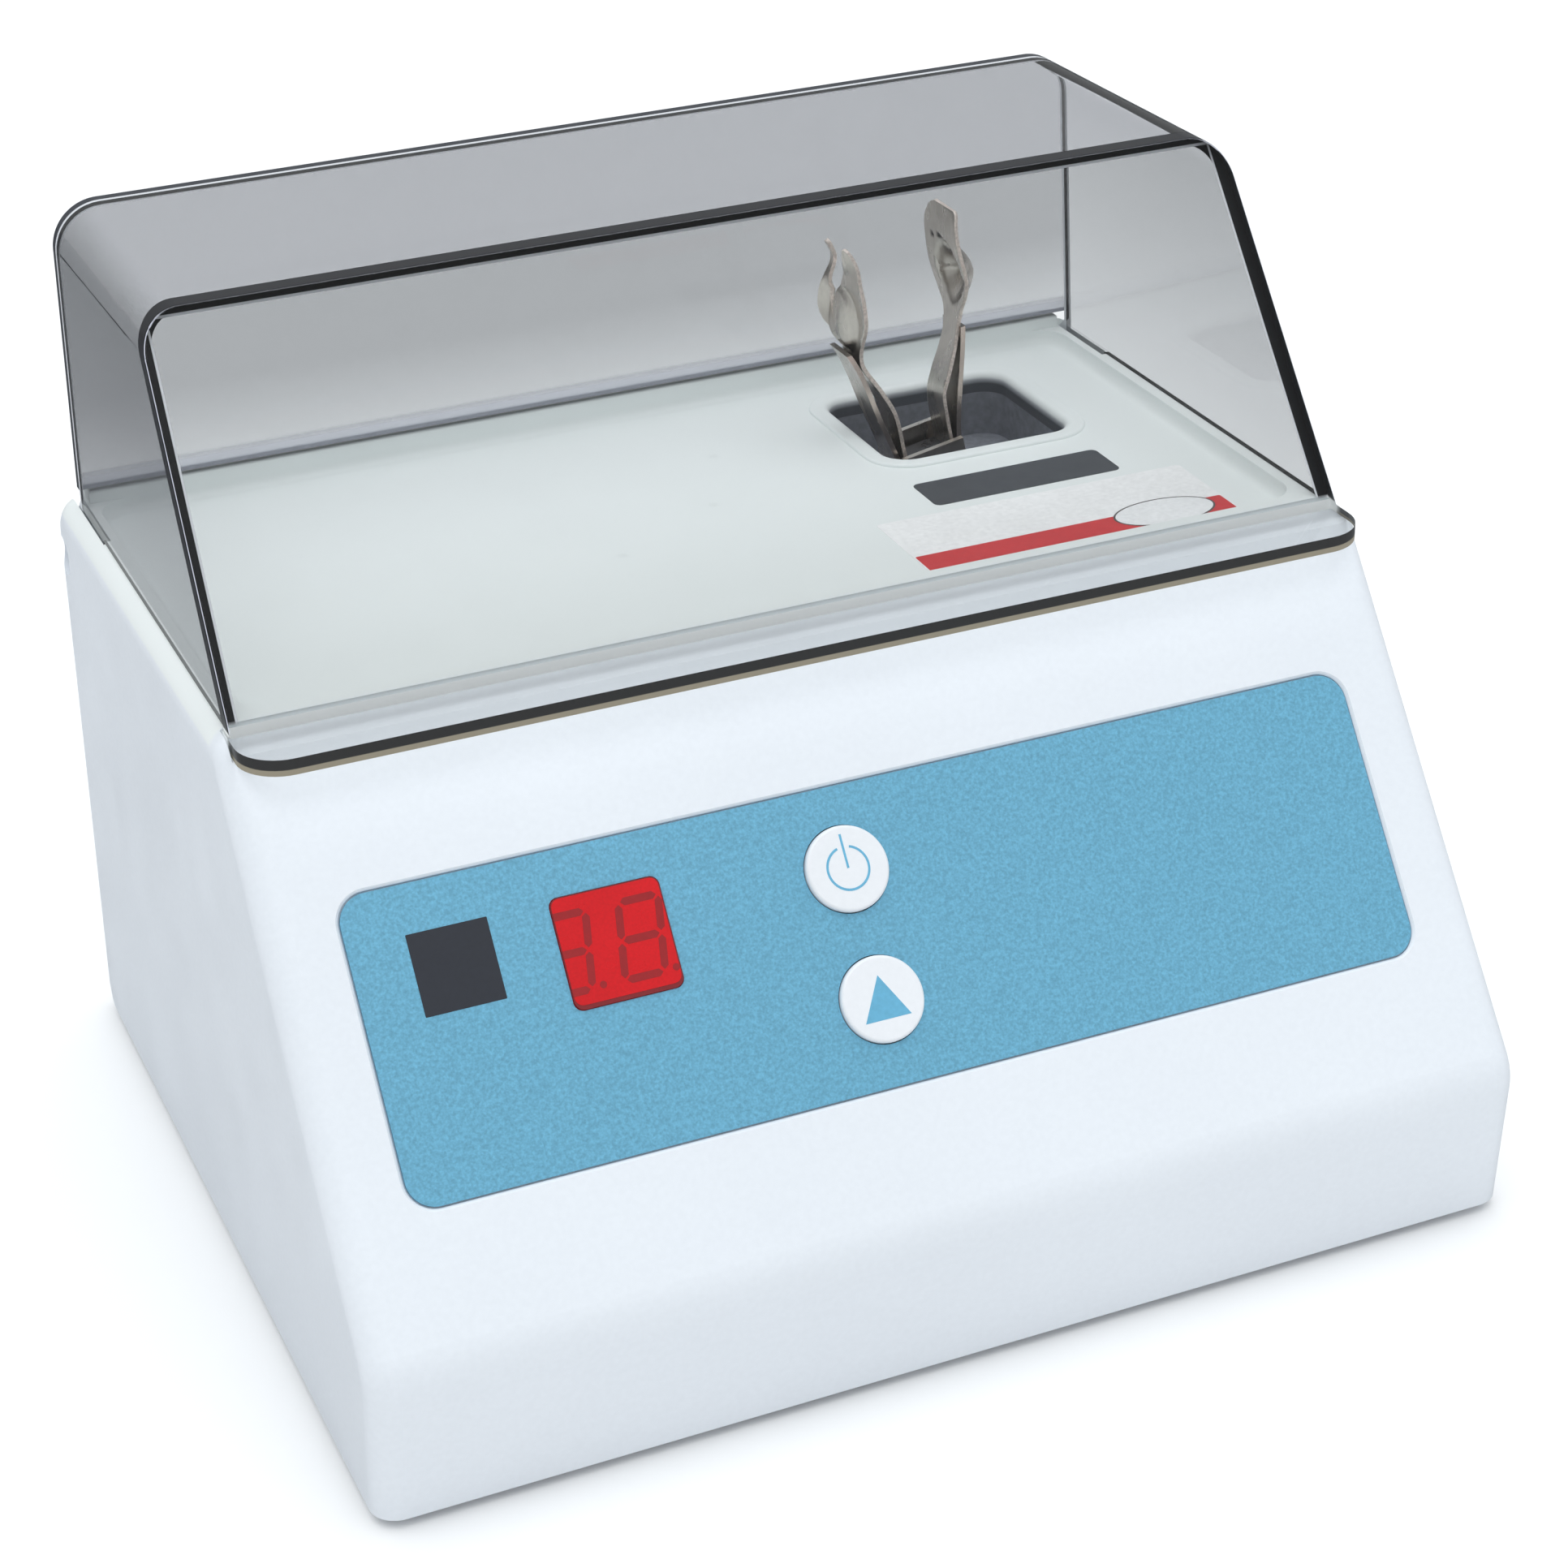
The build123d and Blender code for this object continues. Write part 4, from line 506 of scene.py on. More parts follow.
def bracket_steel():
    """The folded bracket: a painted highlight on the tops of its walls, and painted shade on the block
    between them.
    """
    shader = polished_steel("bracket_steel", srgb(190, 183, 176), 0.3, (1, 1, 0.2))
    y = millimetres(shader.tree, shader.coords)["Y"]
    # painted shade: the block between the walls is made dark
    block = shader.near(y, WELL[1], BLOCK_HALF + 0.1, BLOCK_HALF + 0.4)
    shader.tint(block, srgb(112, 113, 118), 0.0, 1.0)
    # painted highlight on the faces that look up
    level = shader.ramp(shader.facing()["Z"], 0.6, 0.8, 0.0, 1.0)
    shader.tint(both(shader.tree, level, other_than(shader.tree, block)), srgb(236, 230, 222), 0.0, 1.0)
    return shader.material


def cut_steel():
    """The broken-out edge of blanked sheet."""
    shader = Shader("cut_steel", srgb(226, 214, 205), 0.45, metallic=0.6)
    shader.shade(shader.noise(2200.0, 4.0), 0.35, 0.65, 0.7, 1.1)
    shader.rough(shader.noise(900.0, 3.0), 0.3, 0.6)
    shader.bump(shader.noise(2200.0, 4.0), 0.5, 0.06)
    return shader.material


def head_steel(name, marks=()):
    """The forks' polished faces; marks are small stains at (x, y, z) in millimetres."""
    shader = polished_steel(name, srgb(200, 193, 185), 0.27, (1, 1, 0.3))
    x, y, z = shader.place()
    for at, radius in marks:
        mark = shader.near(x, at[0], radius * 3, radius * 4)
        for value, middle in ((y, at[1]), (z, at[2])):
            mark = shader.math("MULTIPLY", mark, shader.near(value, middle, radius * 0.4, radius * 1.3))
        shader.tint(mark, srgb(52, 50, 50), 0.0, 1.0)
    return shader.material


def zinc():
    shader = Shader("zinc_plate", srgb(176, 178, 180), 0.38, metallic=0.95)
    shader.shade(shader.noise(400.0, 4.0), 0.3, 0.7, 0.85, 1.1)
    shader.rough(shader.noise(200.0, 4.0), 0.3, 0.5)
    shader.bump(shader.noise(900.0, 3.0), 0.12, 0.02)
    return shader.material


def painted_sheet():
    shader = Shader("painted_sheet", srgb(188, 191, 193), 0.5, metallic=0.2)
    shader.shade(shader.noise(350.0, 4.0), 0.3, 0.7, 0.93, 1.05)
    shader.rough(shader.noise(90.0, 4.0), 0.42, 0.6)
    shader.bump(shader.noise(700.0, 4.0), 0.25, 0.05)
    return shader.material


def board_laminate():
    shader = Shader("board_laminate", srgb(34, 92, 52), 0.4)
    weave = shader.tree.nodes.new("ShaderNodeTexWave")
    weave.inputs["Scale"].default_value = 900.0
    shader.links.new(shader.coords, weave.inputs["Vector"])
    shader.shade(weave.outputs["Fac"], 0.0, 1.0, 0.9, 1.08)
    shader.shade(shader.noise(40.0, 3.0), 0.3, 0.7, 0.9, 1.1)
    shader.bump(weave.outputs["Fac"], 0.1, 0.02)
    return shader.material


def wound_copper():
    shader = Shader("wound_copper", srgb(168, 104, 62), 0.4, metallic=0.8)
    wave = shader.tree.nodes.new("ShaderNodeTexWave")
    wave.inputs["Scale"].default_value = 700.0
    shader.links.new(shader.coords, wave.inputs["Vector"])
    shader.shade(wave.outputs["Fac"], 0.0, 1.0, 0.6, 1.15)
    shader.bump(wave.outputs["Fac"], 0.5, 0.1)
    return shader.material


def make_materials():
    return {
        "housing_plastic": housing_white(),
        "base_metal": painted_sheet(),
        "rubber": rubber("dark_rubber", srgb(132, 135, 143)),
        "screw_steel": zinc(),
        "panel_blue": panel_blue(),
        "display_red": display_red(),
        "display_body": ink("display_black", srgb(26, 26, 28)),
        "button_white": moulded_plastic("button_white", srgb(240, 243, 247), 0.32, 0.008).material,
        "switch_black": moulded_plastic("switch_black", srgb(24, 24, 25), 0.5).material,
        "board_green": board_laminate(),
        # the hood's side walls are darker as painted shade, and clearer towards their foot as painted light
        "cover_clear": cover_pane(
            "hood_acrylic", (0.9, 0.905, 0.93), hood_edges, sides=(0.42, 0.425, 0.435),
            sides_low_painted_light=(0.68, 0.685, 0.695), gloss=0.9),
        "pin_white": moulded_plastic("pin_white", srgb(192, 196, 202), 0.45).material,
        "fork_steel": fork_sheet(),
        "arm_metal": polished_steel("cast_arm", srgb(172, 175, 178), 0.42).material,
        "bearing_steel": polished_steel("ground_steel", srgb(196, 198, 200), 0.18).material,
        "motor_steel": polished_steel("drawn_steel", srgb(128, 130, 133), 0.35).material,
        "copper_core": wound_copper(),
        "fan_plastic": moulded_plastic("fan_black", srgb(38, 39, 41), 0.5).material,
        "inlet_black": moulded_plastic("inlet_black", srgb(20, 20, 21), 0.45).material,
        "contact_brass": polished_steel("contact_brass", srgb(206, 178, 112), 0.28).material,
        "electrics_dark": moulded_plastic("electrics_dark", srgb(38, 44, 62), 0.4).material,
    }


def dress_nodes(materials):
    """Every CAD node takes the material of its slot in the record."""
    for part in frame["record"]["subparts"]:
        node = nodes[part["node"]]
        node.data.materials.clear()
        node.data.materials.append(materials[part["material_slot"]])
    nodes["fork_bracket"].data.materials[0] = bracket_steel()
    # the back panel is clearer towards its foot as painted light
    nodes["cover_back_panel"].data.materials[0] = cover_pane(
        "back_acrylic", (0.45, 0.455, 0.465), back_edges, clear_low_painted_light=(0.7, 0.71, 0.72), rise=20.0)
    nodes["cover_front_window"].data.materials[0] = cover_pane(
        "window_acrylic", (0.78, 0.79, 0.79), window_edges)


# ---------------------------------------------------------------- mesh helpers
def new_piece(name, mesh, material, body):
    piece = bpy.data.objects.new(name, mesh)
    bpy.context.scene.collection.objects.link(piece)
    mesh.materials.append(material)
    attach(piece, body)
    return piece


def slope_matrix(height):
    """From (x, distance up the slope, height) in millimetres to the row frame."""
    angle = radians(SLOPE_DEG)
    right = Vector((1, 0, 0))
    up = Vector((0, cos(angle), sin(angle)))
    out = Vector((0, -sin(angle), cos(angle)))
    matrix = Matrix((right, up, out)).transposed().to_4x4()
    matrix.translation = Vector(CREASE) + out * height
    return Matrix.Scale(MM, 4) @ matrix


def deck_matrix(height):
    """From (x, y, height) in millimetres to the row frame, measured from the tray's floor."""
    return Matrix.Scale(MM, 4) @ Matrix.Translation((0, 0, TRAY_Z + height))


def rounded_rectangle(x0, x1, y0, y1, radius, steps=6):
    points = []
    corners = [(x1 - radius, y0 + radius, -90), (x1 - radius, y1 - radius, 0),
               (x0 + radius, y1 - radius, 90), (x0 + radius, y0 + radius, 180)]
    for cx, cy, start in corners:
        for i in range(steps + 1):
            angle = radians(start + 90 * i / steps)
            points.append((cx + radius * cos(angle), cy + radius * sin(angle)))
    return points


def plate_mesh(name, outlines, thickness, place, soften=0.3):
    """Flat plates with a softened top edge, one for each outline."""
    bm = bmesh.new()
    for points in outlines:
        middle = Vector((sum(p[0] for p in points) / len(points), sum(p[1] for p in points) / len(points), 0))
        rings = []
        inset = soften * thickness
        for shrink, height in ((0, 0), (0, thickness - inset), (inset, thickness)):
            ring = []
            for u, v in points:
                at = Vector((u, v, 0))
                length = (at - middle).length
                at = middle + (at - middle) * (1 - shrink / max(length, 1e-6))
                ring.append(bm.verts.new((at.x, at.y, height)))
            rings.append(ring)
        count = len(points)
        for low, high in zip(rings, rings[1:]):
            for i in range(count):
                bm.faces.new((low[i], low[(i + 1) % count], high[(i + 1) % count], high[i]))
        bm.faces.new(rings[-1])
        bm.faces.new(list(reversed(rings[0])))
    bmesh.ops.recalc_face_normals(bm, faces=bm.faces)
    bm.transform(place)
    mesh = bpy.data.meshes.new(name)
    bm.to_mesh(mesh)
    bm.free()
    return mesh


# ---------------------------------------------------------------- printed detail on the panel
def arc_points(centre, radius, start, end, steps=48):
    angles = [radians(start + (end - start) * i / steps) for i in range(steps + 1)]
    return [(centre[0] + radius * cos(angle), centre[1] + radius * sin(angle)) for angle in angles]


def ellipse(centre, half_width, half_height, steps=48):
    angles = [2 * pi * i / steps for i in range(steps)]
    return [(centre[0] + half_width * cos(angle), centre[1] + half_height * sin(angle)) for angle in angles]


def power_symbol():
    """A broken ring with a bar through its gap."""
    radius, half, gap, bar_length = 3.75, 0.21, 17.0, 5.95
    outer = arc_points((BUTTON_X, POWER_UP), radius + half, 90 + gap, 450 - gap)
    inner = arc_points((BUTTON_X, POWER_UP), radius - half, 90 + gap, 450 - gap)
    bar = [(BUTTON_X - half, POWER_UP), (BUTTON_X + half, POWER_UP),
           (BUTTON_X + half, POWER_UP + bar_length), (BUTTON_X - half, POWER_UP + bar_length)]
    return [outer + inner[::-1], bar]


def time_symbol():
    """A triangle that points up the slope."""
    half, low, high = 4.25, -3.55, 4.06
    return [[(BUTTON_X - half, TIME_UP + low), (BUTTON_X + half, TIME_UP + low), (BUTTON_X, TIME_UP + high)]]


def add_symbols():
    blue = ink("symbol_blue", srgb(104, 178, 212), 0.35)
    for name, outlines, body in (("power_symbol", power_symbol(), "power_button_body"),
                                 ("time_symbol", time_symbol(), "time_button_body")):
        mesh = plate_mesh(name, outlines, 0.03, slope_matrix(BUTTON_PROUD))
        new_piece(name, mesh, blue, body)


# ---------------------------------------------------------------- the two-digit display
DIGIT_CENTRES = (-58.25, -45.35)
DIGIT_HALF = (3.55, 6.43)        # from the middle to the segments' centre lines
DIGIT_LEAN = 0.165
SEGMENT_HALF = 0.66
SEGMENT_GAP = 0.35
POINTS_AT = (-53.8, -40.85)
POINT_DROP = 6.2
POINT_RADIUS = 0.62
LENS_HEIGHT = 0.35


def segment(start, end):
    """A bar with pointed ends, between two points that it stops just short of."""
    along = (Vector(end) - Vector(start)).normalized()
    side = Vector((-along.y, along.x)) * SEGMENT_HALF
    start, end = Vector(start) + along * SEGMENT_GAP, Vector(end) - along * SEGMENT_GAP
    tip = along * SEGMENT_HALF
    return [start, start + tip - side, end - tip - side, end, end - tip + side, start + tip + side]


def clip_left(points, limit):
    """The part of an outline to the right of a limit."""
    kept = []
    for here, ahead in zip(points, points[1:] + points[:1]):
        if here[0] >= limit:
            kept.append((here[0], here[1]))
        if (here[0] >= limit) != (ahead[0] >= limit):
            share = (limit - here[0]) / (ahead[0] - here[0])
            kept.append((limit, here[1] + share * (ahead[1] - here[1])))
    return kept


def digit_outlines():
    """Every segment and decimal point, cut off where the filter's left edge hides them."""
    outlines = []
    half, tall = DIGIT_HALF
    middle = DISPLAY_UP
    left_edge = DISPLAY_X - DISPLAY_WIDTH / 2 + 0.15
    for centre in DIGIT_CENTRES:
        corner = {}
        for column in (-1, 1):
            for row in (-1, 0, 1):
                up = row * tall
                corner[column, row] = (centre + column * half + up * DIGIT_LEAN, middle + up)
        bars = [((-1, row), (1, row)) for row in (-1, 0, 1)]
        bars += [((column, row), (column, row + 1)) for column in (-1, 1) for row in (-1, 0)]
        for start, end in bars:
            outline = clip_left([tuple(p) for p in segment(corner[start], corner[end])], left_edge)
            if len(outline) > 2:
                outlines.append(outline)
    outlines += [ellipse((x, middle - POINT_DROP), POINT_RADIUS, POINT_RADIUS, 20) for x in POINTS_AT]
    return outlines


def add_display(materials):
    """The filter with its dark rim, painted shade of the recess round it and widest at the bottom, and the
    unlit segments behind it.
    """
    left, right = DISPLAY_X - DISPLAY_WIDTH / 2, DISPLAY_X + DISPLAY_WIDTH / 2
    low, high = DISPLAY_UP - DISPLAY_HEIGHT / 2, DISPLAY_UP + DISPLAY_HEIGHT / 2
    rim = [rounded_rectangle(left, right, low, high, DISPLAY_RADIUS)]
    # painted shade: the lens leaves the dark rim showing, widest along the bottom
    lens = [rounded_rectangle(left + 0.2, right - 0.25, low + 0.75, high - 0.2, DISPLAY_RADIUS - 0.2)]
    pieces = (
        ("display_rim_shade", rim, LENS_HEIGHT - 0.05, -PANEL_RECESS, 0.15,
         ink("rim_shade_red", srgb(128, 22, 28), 0.35)),
        ("display_lens", lens, LENS_HEIGHT, -PANEL_RECESS, 0.05, materials["display_red"]),
        ("display_segments", digit_outlines(), 0.02, LENS_HEIGHT - PANEL_RECESS, 0.3,
         ink("segment_unlit", srgb(156, 14, 22), 0.35)))
    for name, outlines, thickness, height, soften, material in pieces:
        mesh = plate_mesh(name, outlines, thickness, slope_matrix(height), soften)
        new_piece(name, mesh, material, "housing")


# ---------------------------------------------------------------- blank labels
OVAL_AT = (76.9, -14.2)
CARD_THICK = 0.08


def add_labels():
    """Plain coloured plates where the object carries its printed labels."""
    panel, deck, on_card = slope_matrix(-PANEL_RECESS), deck_matrix(0.0), deck_matrix(CARD_THICK)
    plates = (
        ("blank_square", rounded_rectangle(-84.1, -70.1, 55.8, 69.7, 0.15), 0.04, panel,
         ink("label_black", srgb(36, 40, 50), 0.4), "panel_blue"),
        ("deck_strip", rounded_rectangle(40.7, 79.4, 7.0, 18.0, 1.3), CARD_THICK, deck,
         ink("label_grey", srgb(70, 73, 78), 0.4), "housing_plastic"),
        ("deck_card", rounded_rectangle(26.9, 89.9, -23.1, 4.0, 0.8), CARD_THICK, deck,
         ink("label_white", srgb(254, 254, 254), 0.35), "housing_plastic"),
        ("deck_band", rounded_rectangle(27.2, 89.6, -22.8, -12.2, 0.4), 0.03, on_card,
         ink("label_red", srgb(214, 60, 64), 0.35), "housing_plastic"),
        ("deck_oval_rim", ellipse(OVAL_AT, 10.2, 5.6), 0.02, deck_matrix(CARD_THICK + 0.03),
         ink("label_line", srgb(96, 90, 90), 0.4), "housing_plastic"),
        ("deck_oval", ellipse(OVAL_AT, 9.8, 5.2), 0.02, deck_matrix(CARD_THICK + 0.05),
         ink("label_blank", srgb(251, 252, 253), 0.35), "housing_plastic"))
    for name, outline, thickness, place, material, slot in plates:
        new_piece(name, plate_mesh(name, [outline], thickness, place), material, "housing")


# ---------------------------------------------------------------- the mixing forks
# Edge lines in the arm's frame: (height above the pivot, front to back, distance out from the arm).
LEFT_FRONT = [(24.2, -4, 5.2), (33.2, -4, 5.2), (40.2, -4, 5.5), (45.7, -3.9, 7.3), (51.7, -3.5, 9.8),
              (54, -3.4, 9.8), (56.6, -4.5, 9.5), (59.4, -6, 9.05), (61.5, -6.8, 8.75), (64.5, -7, 8.5),
              (67, -7, 8.4), (69.1, -6.8, 8.4), (72.2, -6, 8.0), (74.5, -5, 8.15), (75.9, -4.3, 8.6),
              (76.4, -3.8, 8.9)]
LEFT_MIDDLE = [(24.2, 0, 5.2), (33.2, 0, 5.2), (40.2, 0, 5.5), (45.7, 0, 7.3), (51.7, 0.2, 9.8),
               (54.5, 0.6, 9.8), (57, 1.4, 9.5), (59.4, 2.4, 9.1), (61.5, 3.0, 8.9)]
LEFT_NOTCH_FRONT = [(61.5, 3.0, 8.9), (63, 2.3, 8.8), (66.4, 1.0, 8.95), (68.2, 0.0, 9.4),
                    (69.8, -1.0, 9.2), (71.4, -1.9, 9.1), (73.5, -2.5, 9.2), (75.1, -3.0, 9.3),
                    (76.4, -3.4, 9.2)]
LEFT_NOTCH_REAR = [(61.5, 3.0, 8.9), (63.6, 3.5, 9.05), (65.5, 3.8, 9.6), (67, 4, 10.2), (68.9, 4, 9.9),
                   (70.5, 4, 8.95), (72.2, 4.1, 8.2), (74, 3.9, 8.5), (75.4, 3.7, 8.9), (76, 4.2, 9.1)]
LEFT_REAR = [(24.2, 4, 5.2), (33.2, 4, 5.2), (40.2, 4, 5.5), (45.7, 3.9, 7.3), (52, 3.4, 10.1),
             (55.7, 3.5, 10.4), (58.4, 5.0, 11.5), (59.8, 6.0, 12.3), (61.5, 6.6, 12.6), (63.2, 6.8, 12.6),
             (65.2, 6.5, 12.25), (67.2, 6.0, 11.55), (68.9, 5.5, 10.4), (70.7, 5.4, 8.8), (72.7, 5.4, 8.15),
             (74.4, 5.1, 8.6), (75.6, 4.9, 9.05), (76, 4.6, 9.15)]
RIGHT_FRONT = [(24.2, -4, 5.2), (32.2, -4, 5.0), (38.7, -4, 5.1), (40.8, -4, 5.4), (43.6, -4, 6.8),
               (48.6, -3.5, 9.4), (51.9, -3.3, 10.7), (54.1, -3.4, 11.5), (56.5, -4, 12.2),
               (58.6, -5, 12.8), (61.3, -6, 13.1), (64.1, -6.8, 12.95), (67, -7, 12.7), (69.8, -6.8, 12.6),
               (72.5, -6.5, 12.8), (74.5, -6, 13.3), (75.7, -5.4, 13.9), (76.4, -4.6, 14.1)]
RIGHT_REAR = [(24.2, 4, 5.2), (32.2, 4, 5.0), (38.7, 4, 5.3), (42.8, 3.9, 7.0), (46.4, 3.6, 8.9),
              (50.4, 3.3, 10.7), (53.7, 3.6, 11.7), (55.7, 4.5, 12.2), (58, 6, 12.4), (61.1, 6.8, 12.2),
              (64.4, 7, 12.0), (68.8, 7, 12.2), (72.5, 6.5, 12.45), (75.2, 5, 12.9), (76.6, 3.4, 13.1),
              (77.2, 2.0, 13.3)]
DIMPLES = ((3.7, 69.9), (0.9, 70.4))
STAIN_OUT = 12.4                # how far out the stains on the dimples are
STAIN_RADIUS = 0.75
POCKET_UP = 63.0                # the pocket is round above this and pointed below
FORK_ROWS = 84
FORK_HEIGHT = 52.0
STRIP_COLUMNS = 13


def smooth_line(table, up):
    """A cubic through the table's points, at one height: (front to back, distance out)."""
    heights = [row[0] for row in table]
    up = min(max(up, heights[0]), heights[-1])
    at = max(i for i in range(len(heights) - 1) if heights[i] <= up)

    def slope(i, column):
        if i in (0, len(table) - 1):
            first, second = (0, 1) if i == 0 else (len(table) - 2, len(table) - 1)
            return (table[second][column] - table[first][column]) / (heights[second] - heights[first])
        return (table[i + 1][column] - table[i - 1][column]) / (heights[i + 1] - heights[i - 1])

    span = heights[at + 1] - heights[at]
    t = (up - heights[at]) / span
    found = []
    for column in (1, 2):
        a, b = table[at][column], table[at + 1][column]
        m0, m1 = slope(at, column) * span, slope(at + 1, column) * span
        found.append((2 * t ** 3 - 3 * t ** 2 + 1) * a + (t ** 3 - 2 * t ** 2 + t) * m0
                     + (3 * t ** 2 - 2 * t ** 3) * b + (t ** 3 - t ** 2) * m1)
    return found


def ease(low, high, value):
    """0 at low to 1 at high, level at both ends."""
    t = min(max((value - low) / (high - low), 0.0), 1.0)
    return t * t * (3 - 2 * t)


def left_dome(y, up):
    """An oval pressed outward, with a crisp step round it."""
    r = sqrt(((y - 1.0) / 4.3) ** 2 + ((up - 61.3) / 6.9) ** 2)
    return 0.55 * (1 - ease(0.86, 1.0, r)) + 2.0 * max(0.0, 1 - r * r)


def right_pocket(y, up):
    """A deep pocket pressed outward, pointed at its foot, and two small dimples over it."""
    above = up > POCKET_UP
    power = 2.0 if above else 1.45
    across, along = abs(y + 0.7) / 5.1, abs(up - POCKET_UP) / (8.0 if above else 7.0)
    r = (across ** power + along ** power) ** (1 / power)
    inside = max(0.0, 1 - r * r)
    depth = 3.9 * inside ** (1.5 if above else 1.1)
    for at_y, at_up in DIMPLES:
        away = ((y - at_y) ** 2 + (up - at_up) ** 2) / 0.6
        depth += 0.4 * max(0.0, 1 - away)
    return depth


def fork_mesh(name, side, strips, form):
    """Sheet steel between pairs of edge lines, as one surface that add_fork makes solid with a blanked rim.
    """
    tilt = Matrix.Rotation(radians(-ARM_TILT_DEG), 4, "Y")
    place = Matrix.Scale(MM, 4) @ Matrix.Translation((*WELL, PIVOT_Z)) @ tilt
    bm = bmesh.new()
    for front, rear, curl in strips:
        low = max(front[0][0], rear[0][0])
        rows = []
        count = max(6, int(FORK_ROWS * (front[-1][0] - low) / FORK_HEIGHT))
        for i in range(count + 1):
            share = i / count
            front_up = low + (front[-1][0] - low) * share
            rear_up = low + (rear[-1][0] - low) * share
            y0, out0 = smooth_line(front, front_up)
            y1, out1 = smooth_line(rear, rear_up)
            row = []
            for j in range(STRIP_COLUMNS + 1):
                t = j / STRIP_COLUMNS
                up = front_up + (rear_up - front_up) * t
                y = y0 + (y1 - y0) * t
                out = out0 + (out1 - out0) * t ** curl + form(y, up)
                row.append(bm.verts.new((side * out, y, up)))
            rows.append(row)
        for first, second in zip(rows, rows[1:]):
            for j in range(STRIP_COLUMNS):
                bm.faces.new((first[j], first[j + 1], second[j + 1], second[j]))
    bmesh.ops.remove_doubles(bm, verts=bm.verts, dist=0.02)
    bmesh.ops.recalc_face_normals(bm, faces=bm.faces)
    for face in bm.faces:
        face.smooth = True
    bm.transform(place)
    mesh = bpy.data.meshes.new(name)
    bm.to_mesh(mesh)
    bm.free()
    return mesh


def add_fork(name, side, strips, form, face, rim, body):
    fork = new_piece(name, fork_mesh(name, side, strips, form), face, body)
    fork.data.materials.append(rim)
    solid = fork.modifiers.new("sheet", "SOLIDIFY")
    solid.thickness = FORK_SHEET * MM
    solid.offset = 0.0
    solid.use_even_offset = True
    solid.material_offset_rim = 1
    soft = fork.modifiers.new("soft_edges", "BEVEL")
    soft.width = 0.12 * MM
    soft.segments = 2
    soft.limit_method = "ANGLE"
    soft.angle_limit = radians(50)
    return fork


def add_forks():
    rim = cut_steel()
    stains = []
    for y, up in DIMPLES:
        at = Matrix.Rotation(radians(-ARM_TILT_DEG), 4, "Y") @ Vector((STAIN_OUT, y, up))
        stains.append(((at.x + WELL[0], at.y + WELL[1], at.z + PIVOT_Z), STAIN_RADIUS))
    notch = LEFT_MIDDLE[-1][0]
    low = [[row for row in table if row[0] <= notch] for table in (LEFT_FRONT, LEFT_REAR)]
    high = [[row for row in table if row[0] >= notch] for table in (LEFT_FRONT, LEFT_REAR)]
    strips = [(low[0], LEFT_MIDDLE, 1.0), (LEFT_MIDDLE, low[1], 1.7),
              (high[0], LEFT_NOTCH_FRONT, 1.0), (LEFT_NOTCH_REAR, high[1], 1.7)]
    piece = add_fork("left_mixing_fork", -1, strips, left_dome, head_steel("fork_face_left"), rim,
                     "left_fork_body")
    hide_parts("left_fork")
    piece = add_fork("right_mixing_fork", 1, [(RIGHT_FRONT, RIGHT_REAR, 1.0)], right_pocket,
                     head_steel("fork_face_right", stains), rim, "right_fork_body")
    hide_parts("right_fork")


# ---------------------------------------------------------------- floor, lights, camera
FLOOR_HALF_M = 12.0


def floor_sheet(name, colour, variation):
    bm = bmesh.new()
    bmesh.ops.create_grid(bm, x_segments=1, y_segments=1, size=FLOOR_HALF_M)
    mesh = bpy.data.meshes.new(name)
    bm.to_mesh(mesh)
    bm.free()
    floor = bpy.data.objects.new(name, mesh)
    bpy.context.scene.collection.objects.link(floor)
    shader = Shader(name, colour, 0.9, specular=0.1)
    shader.shade(shader.noise(3.0, 2.0), 0.3, 0.7, variation, 1.0)
    mesh.materials.append(shader.material)
    return floor


def add_floor():
    """White paper, and a grey sheet that only reflections see, like a flag that keeps glare off gloss."""
    paper = floor_sheet("studio_paper", (1.0, 1.0, 1.0, 1.0), 0.995)
    paper.visible_glossy = False
    flag = floor_sheet("studio_flag", srgb(140, 142, 146), 0.97)
    flag.visible_camera = False
    flag.visible_diffuse = False
    flag.visible_transmission = False
    flag.visible_shadow = False


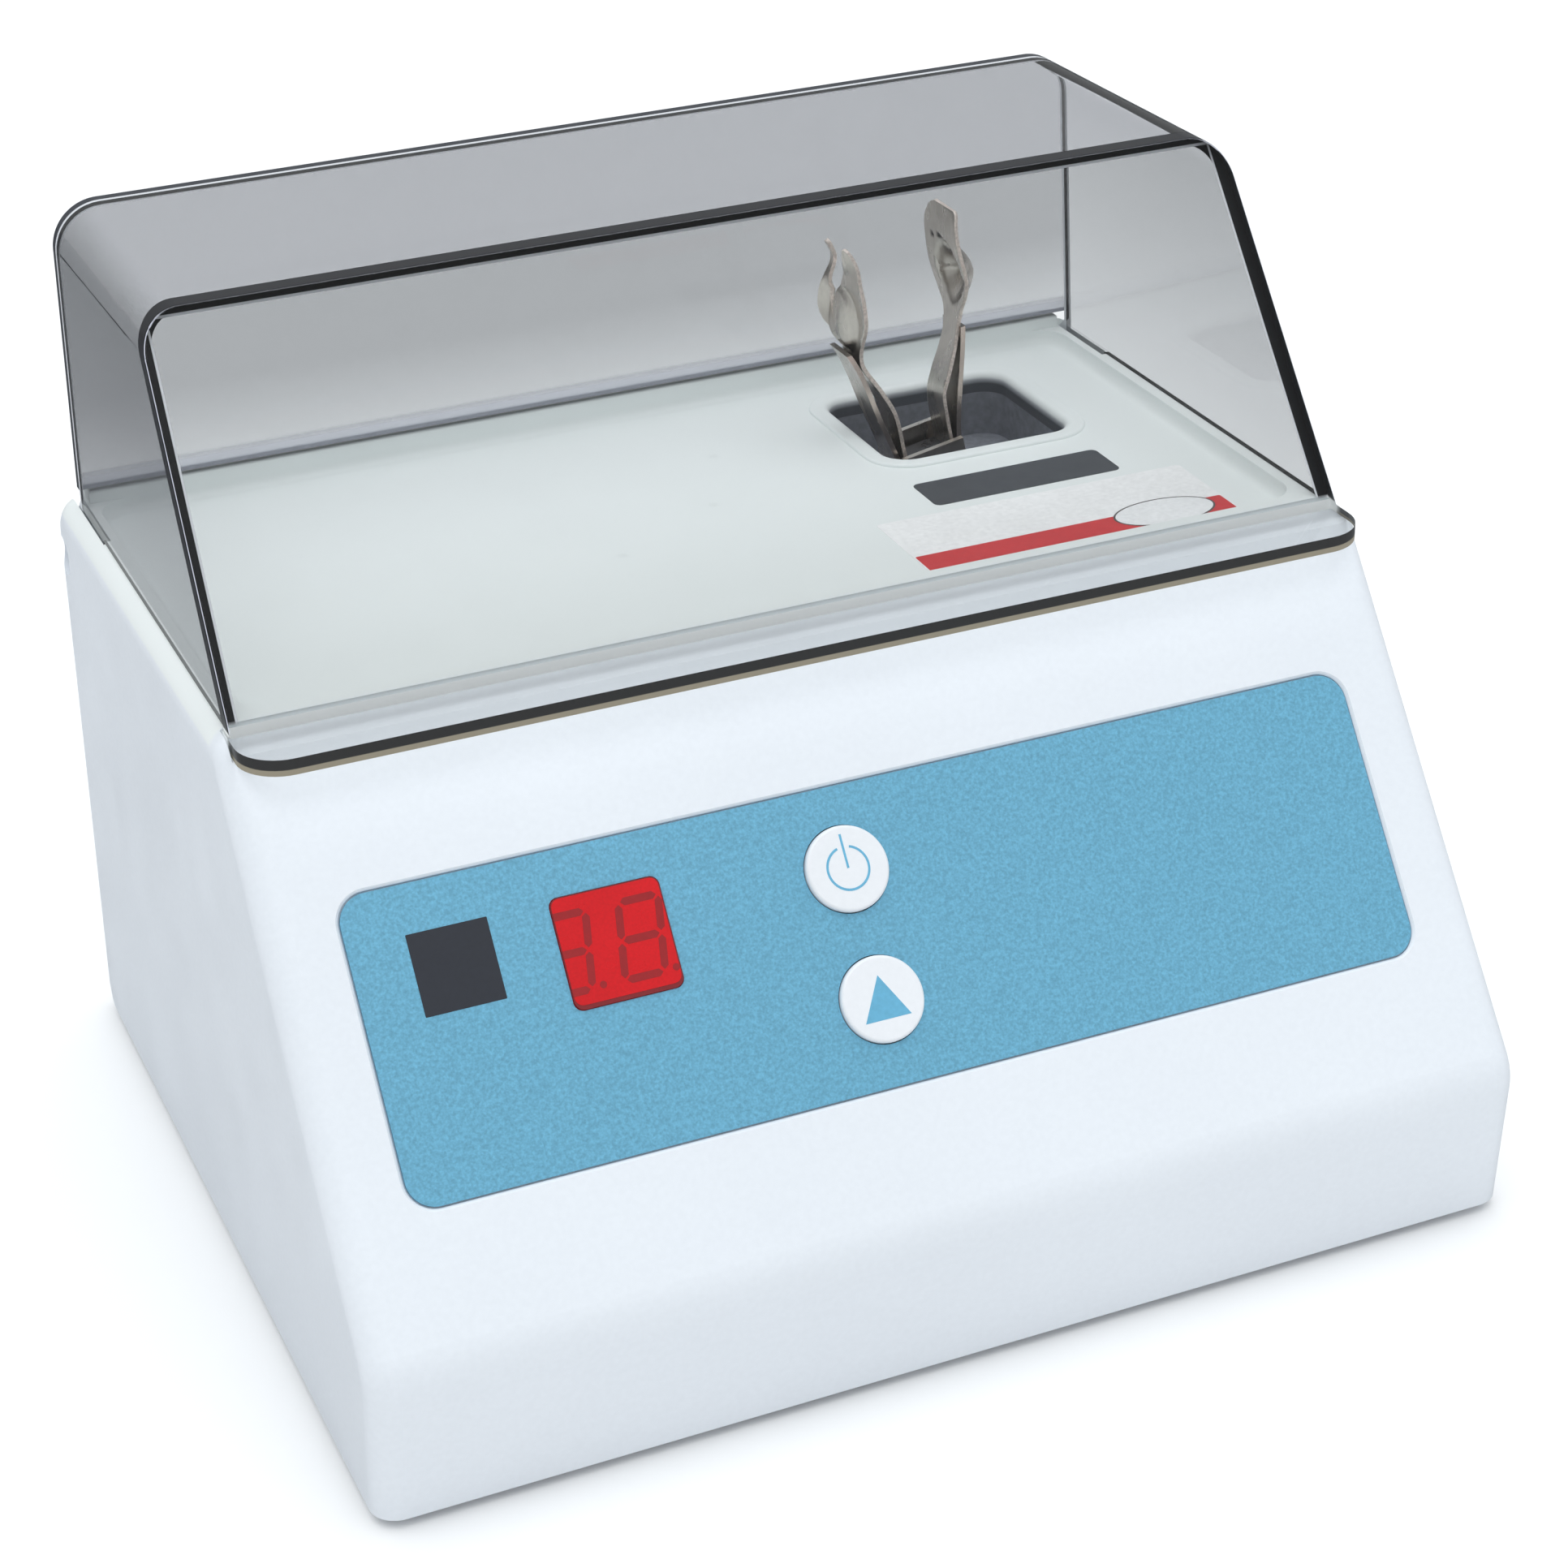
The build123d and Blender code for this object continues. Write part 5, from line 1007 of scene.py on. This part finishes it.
def add_lights():
    """A soft white studio that grows brighter overhead."""
    world = bpy.data.worlds.new("studio")
    world.use_nodes = True
    tree = world.node_tree
    background = tree.nodes["Background"]
    background.inputs["Color"].default_value = (0.94, 0.975, 1.0, 1.0)
    coords = tree.nodes.new("ShaderNodeTexCoord")
    split = tree.nodes.new("ShaderNodeSeparateXYZ")
    tree.links.new(coords.outputs["Generated"], split.inputs["Vector"])
    square = math_node(tree, "MULTIPLY", split.outputs["Z"], split.outputs["Z"])
    strength = band(tree, square, 0.0, 1.0, LIGHT_LOW, LIGHT_HIGH)
    tree.links.new(strength, background.inputs["Strength"])
    bpy.context.scene.world = world
    lamp = bpy.data.lights.new("softbox", "SUN")
    lamp.energy = SOFTBOX
    lamp.angle = radians(SOFTBOX_SPREAD_DEG)
    holder = bpy.data.objects.new("softbox", lamp)
    bpy.context.scene.collection.objects.link(holder)


def add_camera():
    """The photograph's camera, from the fit of the object's outline."""
    azimuth, elevation, roll = (radians(a) for a in (CAMERA_AZIMUTH, CAMERA_ELEVATION, CAMERA_ROLL))
    forward = Vector((sin(azimuth) * cos(elevation), cos(azimuth) * cos(elevation), -sin(elevation)))
    level = Vector((cos(azimuth), -sin(azimuth), 0))
    up = level.cross(forward)
    right = level * cos(roll) + up * sin(roll)
    up = right.cross(forward)
    data = bpy.data.cameras.new("photo_camera")
    data.sensor_width = SENSOR_MM
    data.lens = LENS_PX / PHOTO_PX * SENSOR_MM
    data.shift_x = (PHOTO_PX / 2 - CENTRE_PX[0]) / PHOTO_PX
    data.shift_y = (CENTRE_PX[1] - PHOTO_PX / 2) / PHOTO_PX
    camera = bpy.data.objects.new("photo_camera", data)
    bpy.context.scene.collection.objects.link(camera)
    turn = Matrix((right, up, -forward)).transposed().to_4x4()
    camera.matrix_world = Matrix.Translation(Vector(CAMERA_AT) * MM) @ turn
    bpy.context.scene.camera = camera


# ---------------------------------------------------------------- build
materials = make_materials()
dress_nodes(materials)
add_symbols()
add_display(materials)
add_labels()
add_forks()
add_floor()
add_lights()
add_camera()
bpy.context.scene.view_settings.view_transform = "Standard"
